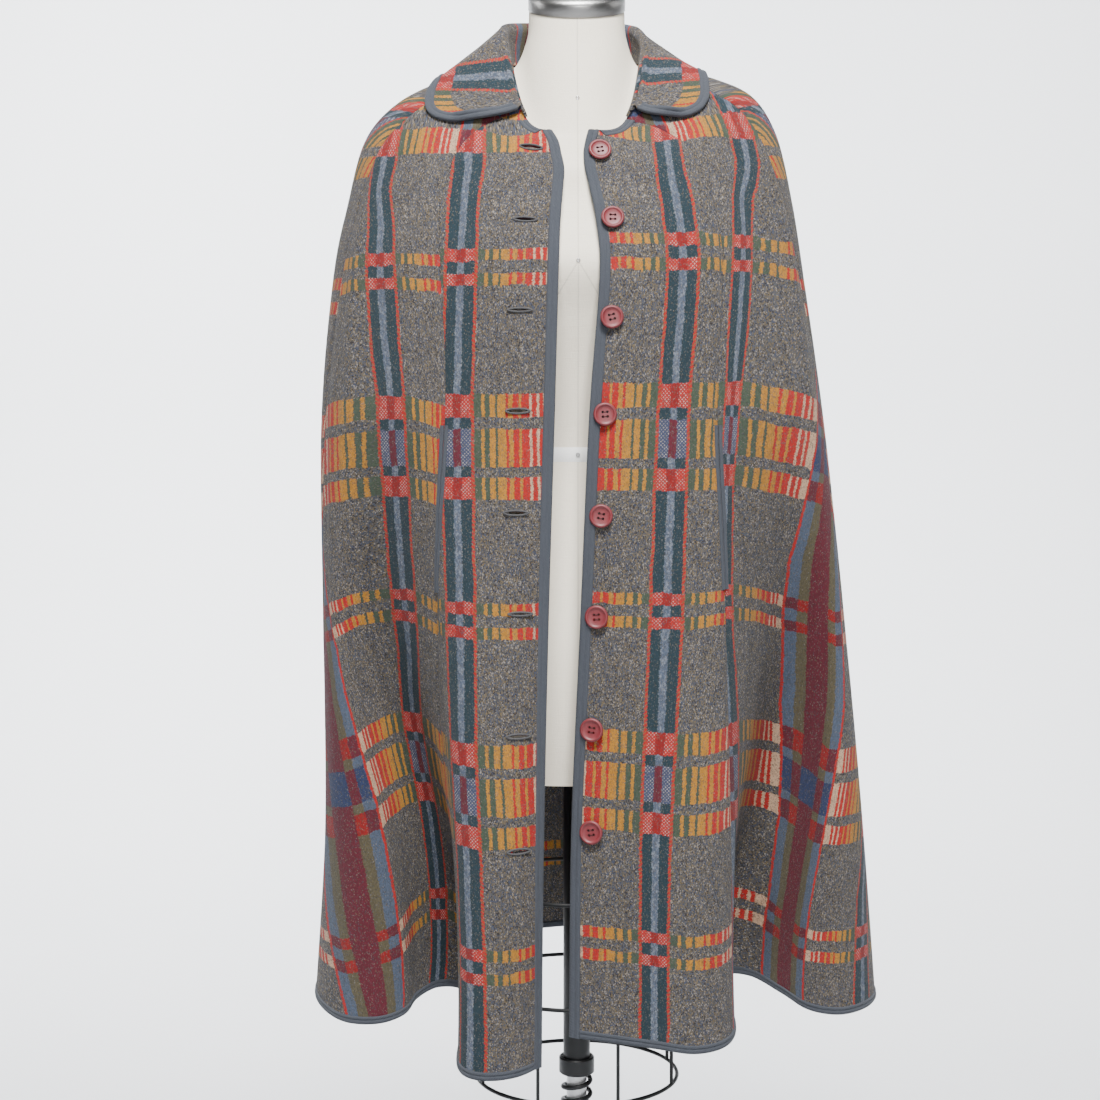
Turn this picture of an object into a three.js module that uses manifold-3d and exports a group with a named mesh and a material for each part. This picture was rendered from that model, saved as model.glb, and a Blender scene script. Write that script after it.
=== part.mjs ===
// Wool cape coat with a fold-over collar, hung on a limbless dress form with a wire cage and a pole stand.
// Millimetres, +Z up, the front of the cape faces -Y, the origin is the centre of the base's underside.
// Left and right in the names are the wearer's, so the wearer's right front lies at -X.
import * as THREE from "three";
import { mergeVertices } from "three/addons/utils/BufferGeometryUtils.js";
import Module from "manifold-3d";

// Cloth and trim
const WALL = 3;
const SEAM_GAP = 0.3;
const SEAT_GAP = 1.3;
const BRAID_WIDTH = 11;
const HEM_BRAID = 8;
const BRAID_PROUD = 0.6;
const SLIT_BRAID = { width: 6, thick: 1.2, lift: 0.5, rows: [7, 7.4, 7.8] };
const BUTTON = { radius: 11.5, thick: 4, rim: 2.2, dish: 1.2, stand: 1 };
const HOLE = { length: 23, width: 1.6 };

// Dress form and stand
const NECK_TOP = 1493;
const NECK_LEAN = 0.36;
const CAP = { radius: 51, height: 27, skirt: 12 };
const CAGE = { wire: 2, top: 699.7, halfWidth: 105, halfDepth: 98, uprights: 8 };
const CAGE_RINGS = [580, 475, 380];
const POLE = { outer: 14, bore: 11.2, bottom: 380, top: 699.7 };
const FLANGE = { radius: 18.5, bottom: 380, height: 17 };
const TUBE = { radius: 10.5, top: 665 };
const SPRING = { wire: 2.5, radius: 14.3, pitch: 14, bottom: 246 };
const SEAT = { radius: 20, height: 16 };
const BASE = { radius: 215, thick: 10, hubRadius: 34, hubHeight: 76, edge: 4 };

// Table with named columns, a row of numbers for each section.
const tableOf = (columns, rows) =>
  rows.map((row) => Object.fromEntries(columns.map((name, i) => [name, row[i]])));

// The cape's outer surface as rings, from the neckline down to the hem. Each ring has a height and a reach
// at the front, the wearer's right (-X), the wearer's left (+X) and the back. rise shapes how the height
// changes round the ring. edgeRight and edgeLeft are the x of the two front edges, frontWidth is the flat
// width of a front panel and sideSeam the side seam's angle from the front.
const RING_COLUMNS = [
  ...["zFront", "zRight", "zLeft", "zBack", "right", "left", "front", "back", "rise"],
  ...["edgeRight", "edgeLeft", "frontWidth", "sideSeam"],
];
const RINGS = tableOf(RING_COLUMNS, [
  [1358, 1436, 1438, 1446, 68, 66, 78, 66, 3, -26, 11, 50, 82], // neck
  [1347, 1427, 1431, 1438, 105, 103, 82, 78, 2.2, -20, 8, 76, 76], // inner yoke
  [1334, 1416, 1421, 1424, 150, 147, 87, 91, 1.6, -17, 6, 96, 70], // yoke
  [1318, 1392, 1401, 1400, 193, 186, 94, 104, 1.2, -14, 7, 111, 65], // shoulder
  [1300, 1354, 1358, 1362, 223, 211, 101, 115, 1, -15, 11, 118, 65], // cap
  [1262, 1288, 1290, 1296, 240, 227, 117, 124, 1, -18, 18, 124, 69], // chest
  [1205, 1212, 1212, 1216, 254, 239, 131, 131, 1, -20, 21, 123, 74], // bust
  [1060, 1060, 1060, 1060, 266, 260, 142, 150, 1, -24, 10, 120, 82], // waist
  [850, 850, 850, 850, 265, 282, 153, 208, 1, -29.5, 1, 143, 88], // hip
  [640, 640, 640, 640, 267, 303, 166, 262, 1, -34, -7.5, 172, 92], // thigh
  [440, 440, 440, 440, 279, 318, 178, 300, 1, -36, -9.6, 205, 95], // hem
]);
const HEM_ROW = RINGS.length - 1;

// Fold stations round the cape, from the wearer's right front edge over the back to the left front edge:
// angle on the rings, the place and height of the hem there, and the height where the fold starts.
const FOLDS = [
  { angle: -3, x: -12, y: -146, z: 444, from: 1080 },
  { angle: 5, x: -36, y: -166, z: 443, from: 1080 },
  { angle: 11, x: -58, y: -188, z: 441, from: 1080 },
  { angle: 18, x: -84, y: -199, z: 441, from: 1080 },
  { angle: 24, x: -107, y: -192, z: 442, from: 1080 },
  { angle: 29.5, x: -117, y: -168, z: 446, from: 1080 },
  { angle: 33.5, x: -115, y: -112, z: 453, from: 1080 },
  { angle: 39, x: -110, y: -48, z: 461, from: 1080 },
  { angle: 46, x: -120, y: -4, z: 467, from: 1080 },
  { angle: 54, x: -146, y: 4, z: 467, from: 1080 },
  { angle: 61, x: -167, y: -12, z: 460, from: 1080 },
  { angle: 67, x: -178, y: -38, z: 452, from: 1060 },
  { angle: 73, x: -204, y: -52, z: 447, from: 1060 },
  { angle: 80, x: -240, y: -42, z: 446, from: 1060 },
  { angle: 88, x: -268, y: -2, z: 449, from: 1060 },
  { angle: 97, x: -279, y: 48, z: 452, from: 1060 },
  { angle: 106, x: -268, y: 100, z: 452, from: 1060 },
  { angle: 115, x: -236, y: 138, z: 455, from: 1060 },
  { angle: 123, x: -214, y: 178, z: 455, from: 1060 },
  { angle: 131, x: -222, y: 226, z: 452, from: 1060 },
  { angle: 140, x: -190, y: 268, z: 450, from: 1060 },
  { angle: 149, x: -146, y: 284, z: 450, from: 1060 },
  { angle: 158, x: -104, y: 266, z: 452, from: 1060 },
  { angle: 168, x: -58, y: 288, z: 450, from: 1060 },
  { angle: 180, x: 0, y: 306, z: 450, from: 1060 },
  { angle: 193, x: 60, y: 300, z: 450, from: 1060 },
  { angle: 203, x: 108, y: 272, z: 452, from: 1060 },
  { angle: 212, x: 154, y: 292, z: 450, from: 1060 },
  { angle: 221, x: 206, y: 274, z: 450, from: 1060 },
  { angle: 230, x: 242, y: 228, z: 452, from: 1060 },
  { angle: 238, x: 238, y: 178, z: 455, from: 1060 },
  { angle: 246, x: 258, y: 132, z: 454, from: 1060 },
  { angle: 255, x: 296, y: 92, z: 454, from: 1060 },
  { angle: 264, x: 318, y: 38, z: 453, from: 1060 },
  { angle: 273, x: 305, y: -12, z: 453, from: 1060 },
  { angle: 281, x: 273, y: -38, z: 452, from: 1060 },
  { angle: 288, x: 240, y: -30, z: 454, from: 1080 },
  { angle: 295, x: 216, y: 2, z: 461, from: 1080 },
  { angle: 302, x: 188, y: 34, z: 469, from: 1080 },
  { angle: 309, x: 161, y: 34, z: 472, from: 1080 },
  { angle: 315, x: 150, y: -4, z: 472, from: 1080 },
  { angle: 321, x: 151, y: -66, z: 471, from: 1080 },
  { angle: 327.5, x: 153, y: -138, z: 469, from: 1080 },
  { angle: 333, x: 140, y: -172, z: 464, from: 1080 },
  { angle: 340, x: 110, y: -186, z: 462, from: 1080 },
  { angle: 347, x: 72, y: -183, z: 466, from: 1080 },
  { angle: 353, x: 34, y: -173, z: 468, from: 1080 },
  { angle: 359, x: -9.6, y: -160, z: 470, from: 1080 },
  { angle: 366, x: -32, y: -142, z: 472, from: 1080 },
];
const LAST_FOLD = FOLDS.length - 1;
const FOLD_DRIFT = 2.2;
const FOLD_PLUNGE = 0.7;

// The form below the shoulders: heights at the front, sides and back, half width, front and back depth.
const BODY = [
  { at: "armhole", zFront: 1292, zSide: 1350, zBack: 1325, halfWidth: 184, front: 95, back: 100 },
  { at: "chest", zFront: 1258, zSide: 1290, zBack: 1280, halfWidth: 162, front: 107, back: 106 },
  { at: "bust", zFront: 1220, zSide: 1225, zBack: 1225, halfWidth: 152, front: 120, back: 104 },
  { at: "ribs", zFront: 1140, zSide: 1140, zBack: 1140, halfWidth: 131, front: 100, back: 90 },
  { at: "waist", zFront: 1030, zSide: 1030, zBack: 1030, halfWidth: 116, front: 86, back: 79 },
  { at: "belly", zFront: 930, zSide: 930, zBack: 930, halfWidth: 141, front: 100, back: 106 },
  { at: "hip", zFront: 840, zSide: 840, zBack: 840, halfWidth: 164, front: 110, back: 127 },
  { at: "seat", zFront: 760, zSide: 760, zBack: 760, halfWidth: 162, front: 108, back: 122 },
  { at: "foot", zFront: 700, zSide: 700, zBack: 700, halfWidth: 152, front: 102, back: 114 },
];
const NECK = [
  { z: NECK_TOP, lean: NECK_LEAN, halfWidth: 50, front: 47, back: 47 },
  { z: 1464, lean: 0.25, halfWidth: 52, front: 51, back: 54 },
];

// Eight buttons on the wearer's left front and the eight holes opposite, each set in from its front edge.
const FASTENINGS = [
  { button: 1335, buttonIn: 16, hole: 1338, holeIn: 24 },
  { button: 1264, buttonIn: 16, hole: 1263, holeIn: 29 },
  { button: 1166, buttonIn: 14, hole: 1173, holeIn: 31 },
  { button: 1071, buttonIn: 15, hole: 1074, holeIn: 30 },
  { button: 972, buttonIn: 16, hole: 975, holeIn: 29 },
  { button: 874, buttonIn: 16, hole: 878, holeIn: 23 },
  { button: 765, buttonIn: 17, hole: 762, holeIn: 24 },
  { button: 667, buttonIn: 21, hole: 654, holeIn: 24 },
];

// Collar: where it starts from the front, and its fold ring and leaf reach round the neck.
const COLLAR_START = 50;
const COLLAR_CORNER = 7;
const COLLAR_CUT = 0.35;
const COLLAR_BRAID = 10;
const COLLAR_LIFT = 0.8;
const COLLAR_FOOT = 1.2;
const COLLAR_LEAN = 3;
const COLLAR_CLEARANCE = 0.9;
const COLLAR_ROLL = 4.5;
const COLLAR_PUFF = 3;
const COLLAR = [
  { angle: 50, foldZ: 1386, foldReach: 77, leafRow: 2.5 },
  { angle: 60, foldZ: 1406, foldReach: 76, leafRow: 2.58 },
  { angle: 72, foldZ: 1431, foldReach: 74, leafRow: 2.3 },
  { angle: 84, foldZ: 1452, foldReach: 73, leafRow: 1.98 },
  { angle: 100, foldZ: 1470, foldReach: 72, leafRow: 1.82 },
  { angle: 117, foldZ: 1482, foldReach: 72, leafRow: 1.75 },
  { angle: 144, foldZ: 1491, foldReach: 74, leafRow: 1.95 },
  { angle: 180, foldZ: 1496, foldReach: 76, leafRow: 2.1 },
];

// Finishes
const finish = (color, roughness, metalness = 0) =>
  new THREE.MeshStandardMaterial({ color, roughness, metalness });
const WOOL = finish(0x76706a, 0.95);
const BRAID = finish(0x5f6874, 0.9);
const ROSE = finish(0xb95f69, 0.35);
const LINEN = finish(0xe4e0d6, 0.9);
const STEEL = finish(0xb9bbbd, 0.35, 0.9);
const BLACK = finish(0x17181a, 0.45, 0.3);
const WHITE_STEEL = finish(0xd9dadb, 0.3, 0.6);

const wasm = await Module();
wasm.setup();
const cape = new THREE.Group();
const form = new THREE.Group();
const stand = new THREE.Group();

const radians = THREE.MathUtils.degToRad;
const clamp01 = (value) => Math.min(Math.max(value, 0), 1);
const ease = (value) => value * value * (3 - 2 * value);

function addPiece(group, name, geometry, material) {
  const mesh = new THREE.Mesh(geometry, material);
  mesh.name = name;
  group.add(mesh);
  return mesh;
}

// Smooth value of one column of a table at a fractional row.
function column(table, name, row) {
  const last = table.length - 1;
  const i = Math.min(Math.max(Math.floor(row), 0), last - 1);
  const value = (n) => {
    if (n < 0) return 2 * table[0][name] - table[1][name];
    if (n > last) return 2 * table[last][name] - table[last - 1][name];
    return table[n][name];
  };
  const [a, b, c, d] = [value(i - 1), value(i), value(i + 1), value(i + 2)];
  const f = row - i;
  return b + 0.5 * f * (c - a + f * (2 * a - 5 * b + 4 * c - d + f * (3 * (b - c) + d - a)));
}

// Point of a plain ring of the cape at an angle from the front, before any fold.
function ringPoint(angle, row) {
  const s = Math.sin(radians(angle));
  const c = Math.cos(radians(angle));
  const side = s > 0 ? "right" : "left";
  const sideZ = column(RINGS, s > 0 ? "zRight" : "zLeft", row);
  const endZ = column(RINGS, c > 0 ? "zFront" : "zBack", row);
  const depth = column(RINGS, c > 0 ? "front" : "back", row);
  const rise = Math.pow(s * s, Math.max(column(RINGS, "rise", row), 1));
  return new THREE.Vector3(-column(RINGS, side, row) * s, -depth * c, endZ + (sideZ - endZ) * rise);
}

// Point of the folded cape at a fractional fold station and ring row.
function capePoint(station, row) {
  const angle = column(FOLDS, "angle", station);
  const point = ringPoint(angle, row);
  const hem = ringPoint(angle, HEM_ROW);
  const from = column(FOLDS, "from", station);
  const hemZ = column(FOLDS, "z", station);
  const depth = ease(clamp01((from - point.z) / (from - hem.z)));
  point.x += (column(FOLDS, "x", station) - hem.x) * Math.pow(depth, FOLD_DRIFT);
  point.y += (column(FOLDS, "y", station) - hem.y) * Math.pow(depth, FOLD_PLUNGE);
  point.z += (hemZ - hem.z) * depth;
  return point;
}

// Outward normal of a surface of two parameters, by small steps.
function normalOf(surface, u, v, step = 0.02) {
  const along = surface(u + step, v).sub(surface(u - step, v));
  const down = surface(u, v + step).sub(surface(u, v - step));
  return along.cross(down).normalize();
}

// Station that lies a distance in mm along the cape from another station on the same row.
function stationAt(station, row, distance) {
  const steps = Math.max(2, Math.ceil(Math.abs(distance) / 2));
  const probe = 0.02;
  let at = station;
  for (let i = 0; i < steps; i++) {
    const speed = capePoint(at + probe, row).distanceTo(capePoint(at - probe, row)) / (2 * probe);
    at += distance / steps / speed;
  }
  return at;
}

// Station where the cape's x is a given value, searched between two stations.
function stationOfX(x, row, low, high) {
  let [a, b] = [low, high];
  for (let i = 0; i < 40; i++) {
    const middle = (a + b) / 2;
    if (capePoint(middle, row).x > x) a = middle;
    else b = middle;
  }
  return (a + b) / 2;
}

// Station of a ring angle.
function stationOfAngle(angle) {
  let [a, b] = [0, LAST_FOLD];
  for (let i = 0; i < 40; i++) {
    const middle = (a + b) / 2;
    if (column(FOLDS, "angle", middle) < angle) a = middle;
    else b = middle;
  }
  return (a + b) / 2;
}

// Row where a station of the cape has a given height.
function rowOfZ(station, z) {
  let [a, b] = [0, HEM_ROW];
  for (let i = 0; i < 40; i++) {
    const middle = (a + b) / 2;
    if (capePoint(station, middle).z > z) a = middle;
    else b = middle;
  }
  return (a + b) / 2;
}

// Seam lines and edges of the cape as stations of a row.
const rightEdge = (row) => stationOfX(column(RINGS, "edgeRight", row), row, 0, 4);
const leftEdge = (row) => stationOfX(column(RINGS, "edgeLeft", row), row, LAST_FOLD - 3, LAST_FOLD);
const rightSeam = (row) => stationAt(rightEdge(row), row, column(RINGS, "frontWidth", row));
const leftSeam = (row) => stationAt(leftEdge(row), row, -column(RINGS, "frontWidth", row));
const rightSide = (row) => stationOfAngle(column(RINGS, "sideSeam", row));
const leftSide = (row) => stationOfAngle(360 - column(RINGS, "sideSeam", row));

// Closed shell between two grids of points, outer and inner, rows down and columns along.
function shellGeometry(outer, inner) {
  const rows = outer.length;
  const columns = outer[0].length;
  const points = [...outer.flat(), ...inner.flat()];
  const at = (j, i) => j * columns + i;
  const under = (index) => index + rows * columns;
  const faces = [];
  for (let j = 0; j + 1 < rows; j++)
    for (let i = 0; i + 1 < columns; i++) {
      const [a, b, c, d] = [at(j, i), at(j, i + 1), at(j + 1, i + 1), at(j + 1, i)];
      faces.push(a, b, c, a, c, d);
      faces.push(under(a), under(c), under(b), under(a), under(d), under(c));
    }
  // Rim strips: facing rims of two neighbours are split along the same diagonal, so a twisted gap stays open.
  const strip = (a, b) => faces.push(b, a, under(a), b, under(a), under(b));
  const facingStrip = (a, b) => faces.push(b, a, under(b), a, under(a), under(b));
  for (let i = 0; i + 1 < columns; i++) {
    strip(at(0, i), at(0, i + 1));
    facingStrip(at(rows - 1, i + 1), at(rows - 1, i));
  }
  for (let j = 0; j + 1 < rows; j++) {
    strip(at(j, columns - 1), at(j + 1, columns - 1));
    facingStrip(at(j + 1, 0), at(j, 0));
  }
  const geometry = new THREE.BufferGeometry().setFromPoints(points);
  geometry.setIndex(faces);
  return geometry;
}

// Even stations of a row between two seam lines.
const lineBetween = ({ columns, from, to }) => (row) => {
  const [start, end] = [from(row), to(row)];
  return Array.from({ length: columns + 1 }, (_, i) => start + ((end - start) * i) / columns);
};

// Sheet on the cape's surface along the stations of each row, between two offsets along the normal.
function capeSheet({ rows, stations, outside = 0, inside = -WALL }) {
  const outer = [];
  const inner = [];
  for (const row of rows) {
    const line = stations(row);
    const points = line.map((station) => capePoint(station, row));
    const normals = line.map((station) => normalOf(capePoint, station, row));
    outer.push(points.map((p, i) => p.clone().addScaledVector(normals[i], outside)));
    inner.push(points.map((p, i) => p.clone().addScaledVector(normals[i], inside)));
  }
  return shellGeometry(outer, inner);
}

// Rows of the cloth's facets, closer over the shoulder and at the arm slits
const HEM_SPAN = RINGS[HEM_ROW - 1].zFront - RINGS[HEM_ROW].zFront;
const HEM_BRAID_ROW = HEM_ROW - HEM_BRAID / HEM_SPAN;
const HEM_CLOTH_ROW = HEM_ROW - (HEM_BRAID + SEAM_GAP) / HEM_SPAN;
const YOKE_ROWS = [0, 0.6, 1.2, 1.8, 2.4, 3];
const SKIRT_ROWS = [8.2, 8.6, 9, 9.5, HEM_CLOTH_ROW];
const CLOTH_ROWS = [...YOKE_ROWS, 3.5, 4, 4.5, 5, 5.5, 6, 6.5, ...SLIT_BRAID.rows, ...SKIRT_ROWS];
const BRAID_ROWS = [...CLOTH_ROWS, HEM_ROW];
const shifted = (line, distance) => (row) => stationAt(line(row), row, distance);

// Solid of a geometry for cutting, and back.
function solidOf(geometry) {
  const bare = geometry.clone();
  bare.deleteAttribute("normal");
  bare.deleteAttribute("uv");
  const merged = mergeVertices(bare, 1e-4);
  return new wasm.Manifold(
    new wasm.Mesh({
      numProp: 3,
      vertProperties: new Float32Array(merged.attributes.position.array),
      triVerts: new Uint32Array(merged.index.array),
    }),
  );
}

function geometryOf(solid) {
  const mesh = solid.getMesh();
  const geometry = new THREE.BufferGeometry();
  geometry.setAttribute("position", new THREE.BufferAttribute(new Float32Array(mesh.vertProperties), 3));
  geometry.setIndex(new THREE.BufferAttribute(new Uint32Array(mesh.triVerts), 1));
  return geometry;
}

// Frame on the cape's surface: x along the row, y up the cloth, z out of it, at a distance from a seam line.
function frameOn(line, z, distance, lift) {
  const row = rowOfZ(line(7), z);
  const station = stationAt(line(row), row, distance);
  const out = normalOf(capePoint, station, row);
  const along = capePoint(station - 0.02, row).sub(capePoint(station + 0.02, row)).normalize();
  const up = out.clone().cross(along).normalize();
  along.copy(up).cross(out);
  const place = capePoint(station, row).addScaledVector(out, lift);
  return new THREE.Matrix4().makeBasis(along, up, out).setPosition(place);
}

// Fronts, side fronts and back
const halfGap = SEAM_GAP / 2;
const braidInset = BRAID_WIDTH + SEAM_GAP;
const PANELS = {
  front_right: { columns: 9, from: shifted(rightEdge, braidInset), to: shifted(rightSeam, -halfGap) },
  side_right: { columns: 13, from: shifted(rightSeam, halfGap), to: shifted(rightSide, -halfGap) },
  back: { columns: 25, from: shifted(rightSide, halfGap), to: shifted(leftSide, -halfGap) },
  side_left: { columns: 13, from: shifted(leftSide, halfGap), to: shifted(leftSeam, -halfGap) },
  front_left: { columns: 9, from: shifted(leftSeam, halfGap), to: shifted(leftEdge, -braidInset) },
};
for (const [name, panel] of Object.entries(PANELS)) {
  let geometry = capeSheet({ rows: CLOTH_ROWS, stations: lineBetween(panel) });
  if (name === "front_right") {
    let cloth = solidOf(geometry);
    for (const { hole, holeIn } of FASTENINGS) {
      const slit = new THREE.BoxGeometry(HOLE.length, HOLE.width, 5 * WALL);
      slit.applyMatrix4(frameOn(rightEdge, hole, holeIn + HOLE.length / 4, 0));
      cloth = cloth.subtract(solidOf(slit));
    }
    geometry = geometryOf(cloth);
  }
  addPiece(cape, name, geometry, WOOL);
}

// Braid on the front edges and round the hem
const braid = { outside: BRAID_PROUD, inside: -WALL - BRAID_PROUD };
const RIGHT_EDGE = lineBetween({ columns: 2, from: rightEdge, to: shifted(rightEdge, BRAID_WIDTH) });
const LEFT_EDGE = lineBetween({ columns: 2, from: shifted(leftEdge, -BRAID_WIDTH), to: leftEdge });
const HEM_LINE = (row) => Object.values(PANELS).flatMap((panel) => lineBetween(panel)(row));
const edgeBraid = (stations) => capeSheet({ rows: BRAID_ROWS, stations, ...braid });
addPiece(cape, "front_binding_right", edgeBraid(RIGHT_EDGE), BRAID);
addPiece(cape, "front_binding_left", edgeBraid(LEFT_EDGE), BRAID);
const hemBraid = capeSheet({ rows: [HEM_BRAID_ROW, HEM_ROW], stations: HEM_LINE, ...braid });
addPiece(cape, "hem_binding", hemBraid, BRAID);

// Braid that lies on the cloth: the short neckline ends and both lips of each arm slit
const laid = { outside: SLIT_BRAID.lift + SLIT_BRAID.thick, inside: SLIT_BRAID.lift };
const collarStart = stationOfAngle(COLLAR_START - 2);
const collarEnd = stationOfAngle(362 - COLLAR_START);
const neckInset = braidInset + BRAID_PROUD;
const NECK_RIGHT = lineBetween({ columns: 6, from: shifted(rightEdge, neckInset), to: () => collarStart });
const NECK_LEFT = lineBetween({ columns: 6, from: () => collarEnd, to: shifted(leftEdge, -neckInset) });
const neckBraid = (stations) => capeSheet({ rows: [0.01, 0.3], stations, ...laid });
addPiece(cape, "neck_binding_right", neckBraid(NECK_RIGHT), BRAID);
addPiece(cape, "neck_binding_left", neckBraid(NECK_LEFT), BRAID);
for (const [side, seam, sign] of [["right", rightSeam, 1], ["left", leftSeam, -1]]) {
  for (const [lip, way] of [["front", -sign], ["side", sign]]) {
    const near = shifted(seam, way * SEAM_GAP);
    const far = shifted(seam, way * (SEAM_GAP + SLIT_BRAID.width));
    const ends = way > 0 ? { from: near, to: far } : { from: far, to: near };
    const stations = lineBetween({ columns: 1, ...ends });
    const lipBraid = capeSheet({ rows: SLIT_BRAID.rows, stations, ...laid });
    addPiece(cape, `slit_binding_${side}_${lip}`, lipBraid, BRAID);
  }
}

// Collar: stand, rolled fold and leaf as one sheet
const collarRow = (angle) => {
  const fromFront = angle > 180 ? 360 - angle : angle;
  let i = 0;
  while (i < COLLAR.length - 2 && COLLAR[i + 1].angle < fromFront) i++;
  return i + (fromFront - COLLAR[i].angle) / (COLLAR[i + 1].angle - COLLAR[i].angle);
};

// How far the leaf reaches down the yoke, in ring rows, with its front corners rounded.
function leafReach(angle) {
  const fromFront = angle > 180 ? 360 - angle : angle;
  const corner = clamp01((fromFront - COLLAR_START) / COLLAR_CORNER);
  const rounded = Math.sqrt(1 - (1 - corner) * (1 - corner));
  return column(COLLAR, "leafRow", collarRow(angle)) - COLLAR_CUT * (1 - rounded);
}

function onYoke(angle, row, lift) {
  return ringPoint(angle, row).addScaledVector(normalOf(ringPoint, angle, row), lift);
}

// Nearest place on the yoke to a point, as the point's height above the cloth and the cloth's normal there.
function overYoke(point) {
  const bearing = THREE.MathUtils.radToDeg(Math.atan2(-point.x, -point.y));
  let nearest = Infinity;
  let place = [bearing, 0];
  for (let turn = -30; turn <= 30; turn += 2)
    for (let row = 0; row <= 3.6; row += 0.1) {
      const distance = ringPoint(bearing + turn, row).distanceToSquared(point);
      if (distance < nearest) [nearest, place] = [distance, [bearing + turn, row]];
    }
  const normal = normalOf(ringPoint, ...place);
  return { height: point.clone().sub(ringPoint(...place)).dot(normal), normal };
}

// The point itself, or moved out where it would lie in the cape's shoulder.
function clearOfYoke(point) {
  const { height, normal } = overYoke(point);
  return height < COLLAR_CLEARANCE ? point.addScaledVector(normal, COLLAR_CLEARANCE - height) : point;
}

// Middle of the collar's cloth at an angle, from the stand's base (0) over the fold to the leaf's edge (1).
function collarLine(angle) {
  const row = collarRow(angle);
  const foldZ = column(COLLAR, "foldZ", row);
  const reach = column(COLLAR, "foldReach", row);
  const s = Math.sin(radians(angle));
  const c = Math.cos(radians(angle));
  const fold = (out, drop) => new THREE.Vector3(-(reach + out) * s, -(reach + out) * c, foldZ - drop);
  const away = normalOf(ringPoint, angle, 0);
  const base = onYoke(angle, 0, COLLAR_FOOT);
  const leaf = leafReach(angle);
  const lift = WALL / 2 + COLLAR_LIFT;
  const roll = Math.min(COLLAR_ROLL, (foldZ - base.z) * 0.3);
  const middle = base.clone().lerp(fold(-roll, roll), 0.5).addScaledVector(away, COLLAR_LEAN);
  const edge = onYoke(angle, leaf, lift);
  const halfway = fold(roll, roll).lerp(edge, 0.5).sub(ringPoint(angle, leaf * 0.5));
  const puff = halfway.dot(normalOf(ringPoint, angle, leaf * 0.5)) + COLLAR_PUFF;
  const shoulder = onYoke(angle, leaf * 0.5, Math.max(puff, lift + COLLAR_ROLL));
  const line = [base, middle, fold(-roll, roll), fold(0, 0), fold(roll, roll), shoulder, edge];
  return new THREE.CatmullRomCurve3(line, false, "centripetal");
}
const collarLines = new Map();
function collarPoint(angle, part) {
  if (!collarLines.has(angle)) collarLines.set(angle, collarLine(angle));
  return collarLines.get(angle).getPoint(part);
}

const COLLAR_PARTS = [0, 0.17, 0.33, 0.42, 0.5, 0.58, 0.67, 0.75, 0.83, 0.92, 1];
const COLLAR_COLUMNS = 28;
const COLLAR_TURN = 360 - 2 * COLLAR_START;
const COLLAR_CROWDING = 0.1;
const collarAngles = Array.from({ length: COLLAR_COLUMNS + 1 }, (_, i) => {
  const share = i / COLLAR_COLUMNS;
  return COLLAR_START + COLLAR_TURN * (share - COLLAR_CROWDING * Math.sin(2 * Math.PI * share));
});
function collarSheet() {
  const step = 0.02;
  const side = (offset) =>
    COLLAR_PARTS.map((part) =>
      collarAngles.map((angle) => {
        const low = Math.max(part - step, 0);
        const high = Math.min(part + step, 1);
        const along = collarPoint(angle + 1, part).sub(collarPoint(angle - 1, part));
        const down = collarPoint(angle, high).sub(collarPoint(angle, low));
        const point = collarPoint(angle, part).addScaledVector(along.cross(down).normalize(), offset);
        return part > 0.6 && offset < 0 ? clearOfYoke(point) : point;
      }),
    );
  return shellGeometry(side(WALL / 2), side(-WALL / 2));
}
addPiece(cape, "collar", collarSheet(), WOOL);

// Braid round the collar's free edge: down one front end, along the leaf and up the other end
function collarBraid() {
  const path = [];
  const ends = COLLAR_PARTS.filter((part) => part > 0.6 && part < 1);
  for (const part of ends) path.push([collarAngles[0], part]);
  for (const angle of collarAngles) path.push([angle, 1]);
  for (const part of [...ends].reverse()) path.push([collarAngles[COLLAR_COLUMNS], part]);
  const places = path.map(([angle, part]) => {
    const low = Math.max(part - 0.02, 0);
    const high = Math.min(part + 0.02, 1);
    const along = collarPoint(angle + 1, part).sub(collarPoint(angle - 1, part));
    const down = collarPoint(angle, high).sub(collarPoint(angle, low));
    return { point: collarPoint(angle, part), out: along.cross(down).normalize() };
  });
  const lines = places.map(({ point, out }, i) => {
    const before = places[Math.max(i - 1, 0)].point;
    const after = places[Math.min(i + 1, places.length - 1)].point;
    const away = after.clone().sub(before).cross(out).normalize().negate();
    return { point, out, away };
  });
  const side = (offset) =>
    [BRAID_PROUD, COLLAR_BRAID].map((reach) =>
      lines.map(({ point, out, away }) => {
        const middle = point.clone().addScaledVector(away, reach);
        const { height, normal } = overYoke(middle);
        const rise = Math.max(COLLAR_CLEARANCE + WALL / 2 - height, 0);
        return middle.addScaledVector(normal, rise).addScaledVector(out, offset);
      }),
    );
  const half = WALL / 2;
  return shellGeometry(side(half + BRAID_PROUD), side(-half));
}
addPiece(cape, "collar_binding", collarBraid(), BRAID);

// Buttons
function buttonGeometry() {
  const { radius, thick, rim, dish } = BUTTON;
  const profile = [
    [0, 0],
    [radius - 1.5, 0],
    [radius, thick * 0.45],
    [radius - rim / 2, thick],
    [radius - rim, thick],
    [radius - rim - 1, thick - dish],
    [0, thick - dish],
  ];
  const turned = new THREE.LatheGeometry(profile.map(([x, y]) => new THREE.Vector2(x, y)), 14);
  return turned.rotateX(Math.PI / 2);
}
FASTENINGS.forEach(({ button, buttonIn }, i) => {
  const mesh = addPiece(cape, `button_${i + 1}`, buttonGeometry(), ROSE);
  mesh.applyMatrix4(frameOn(leftEdge, button, -buttonIn, BUTTON.stand));
});

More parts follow.
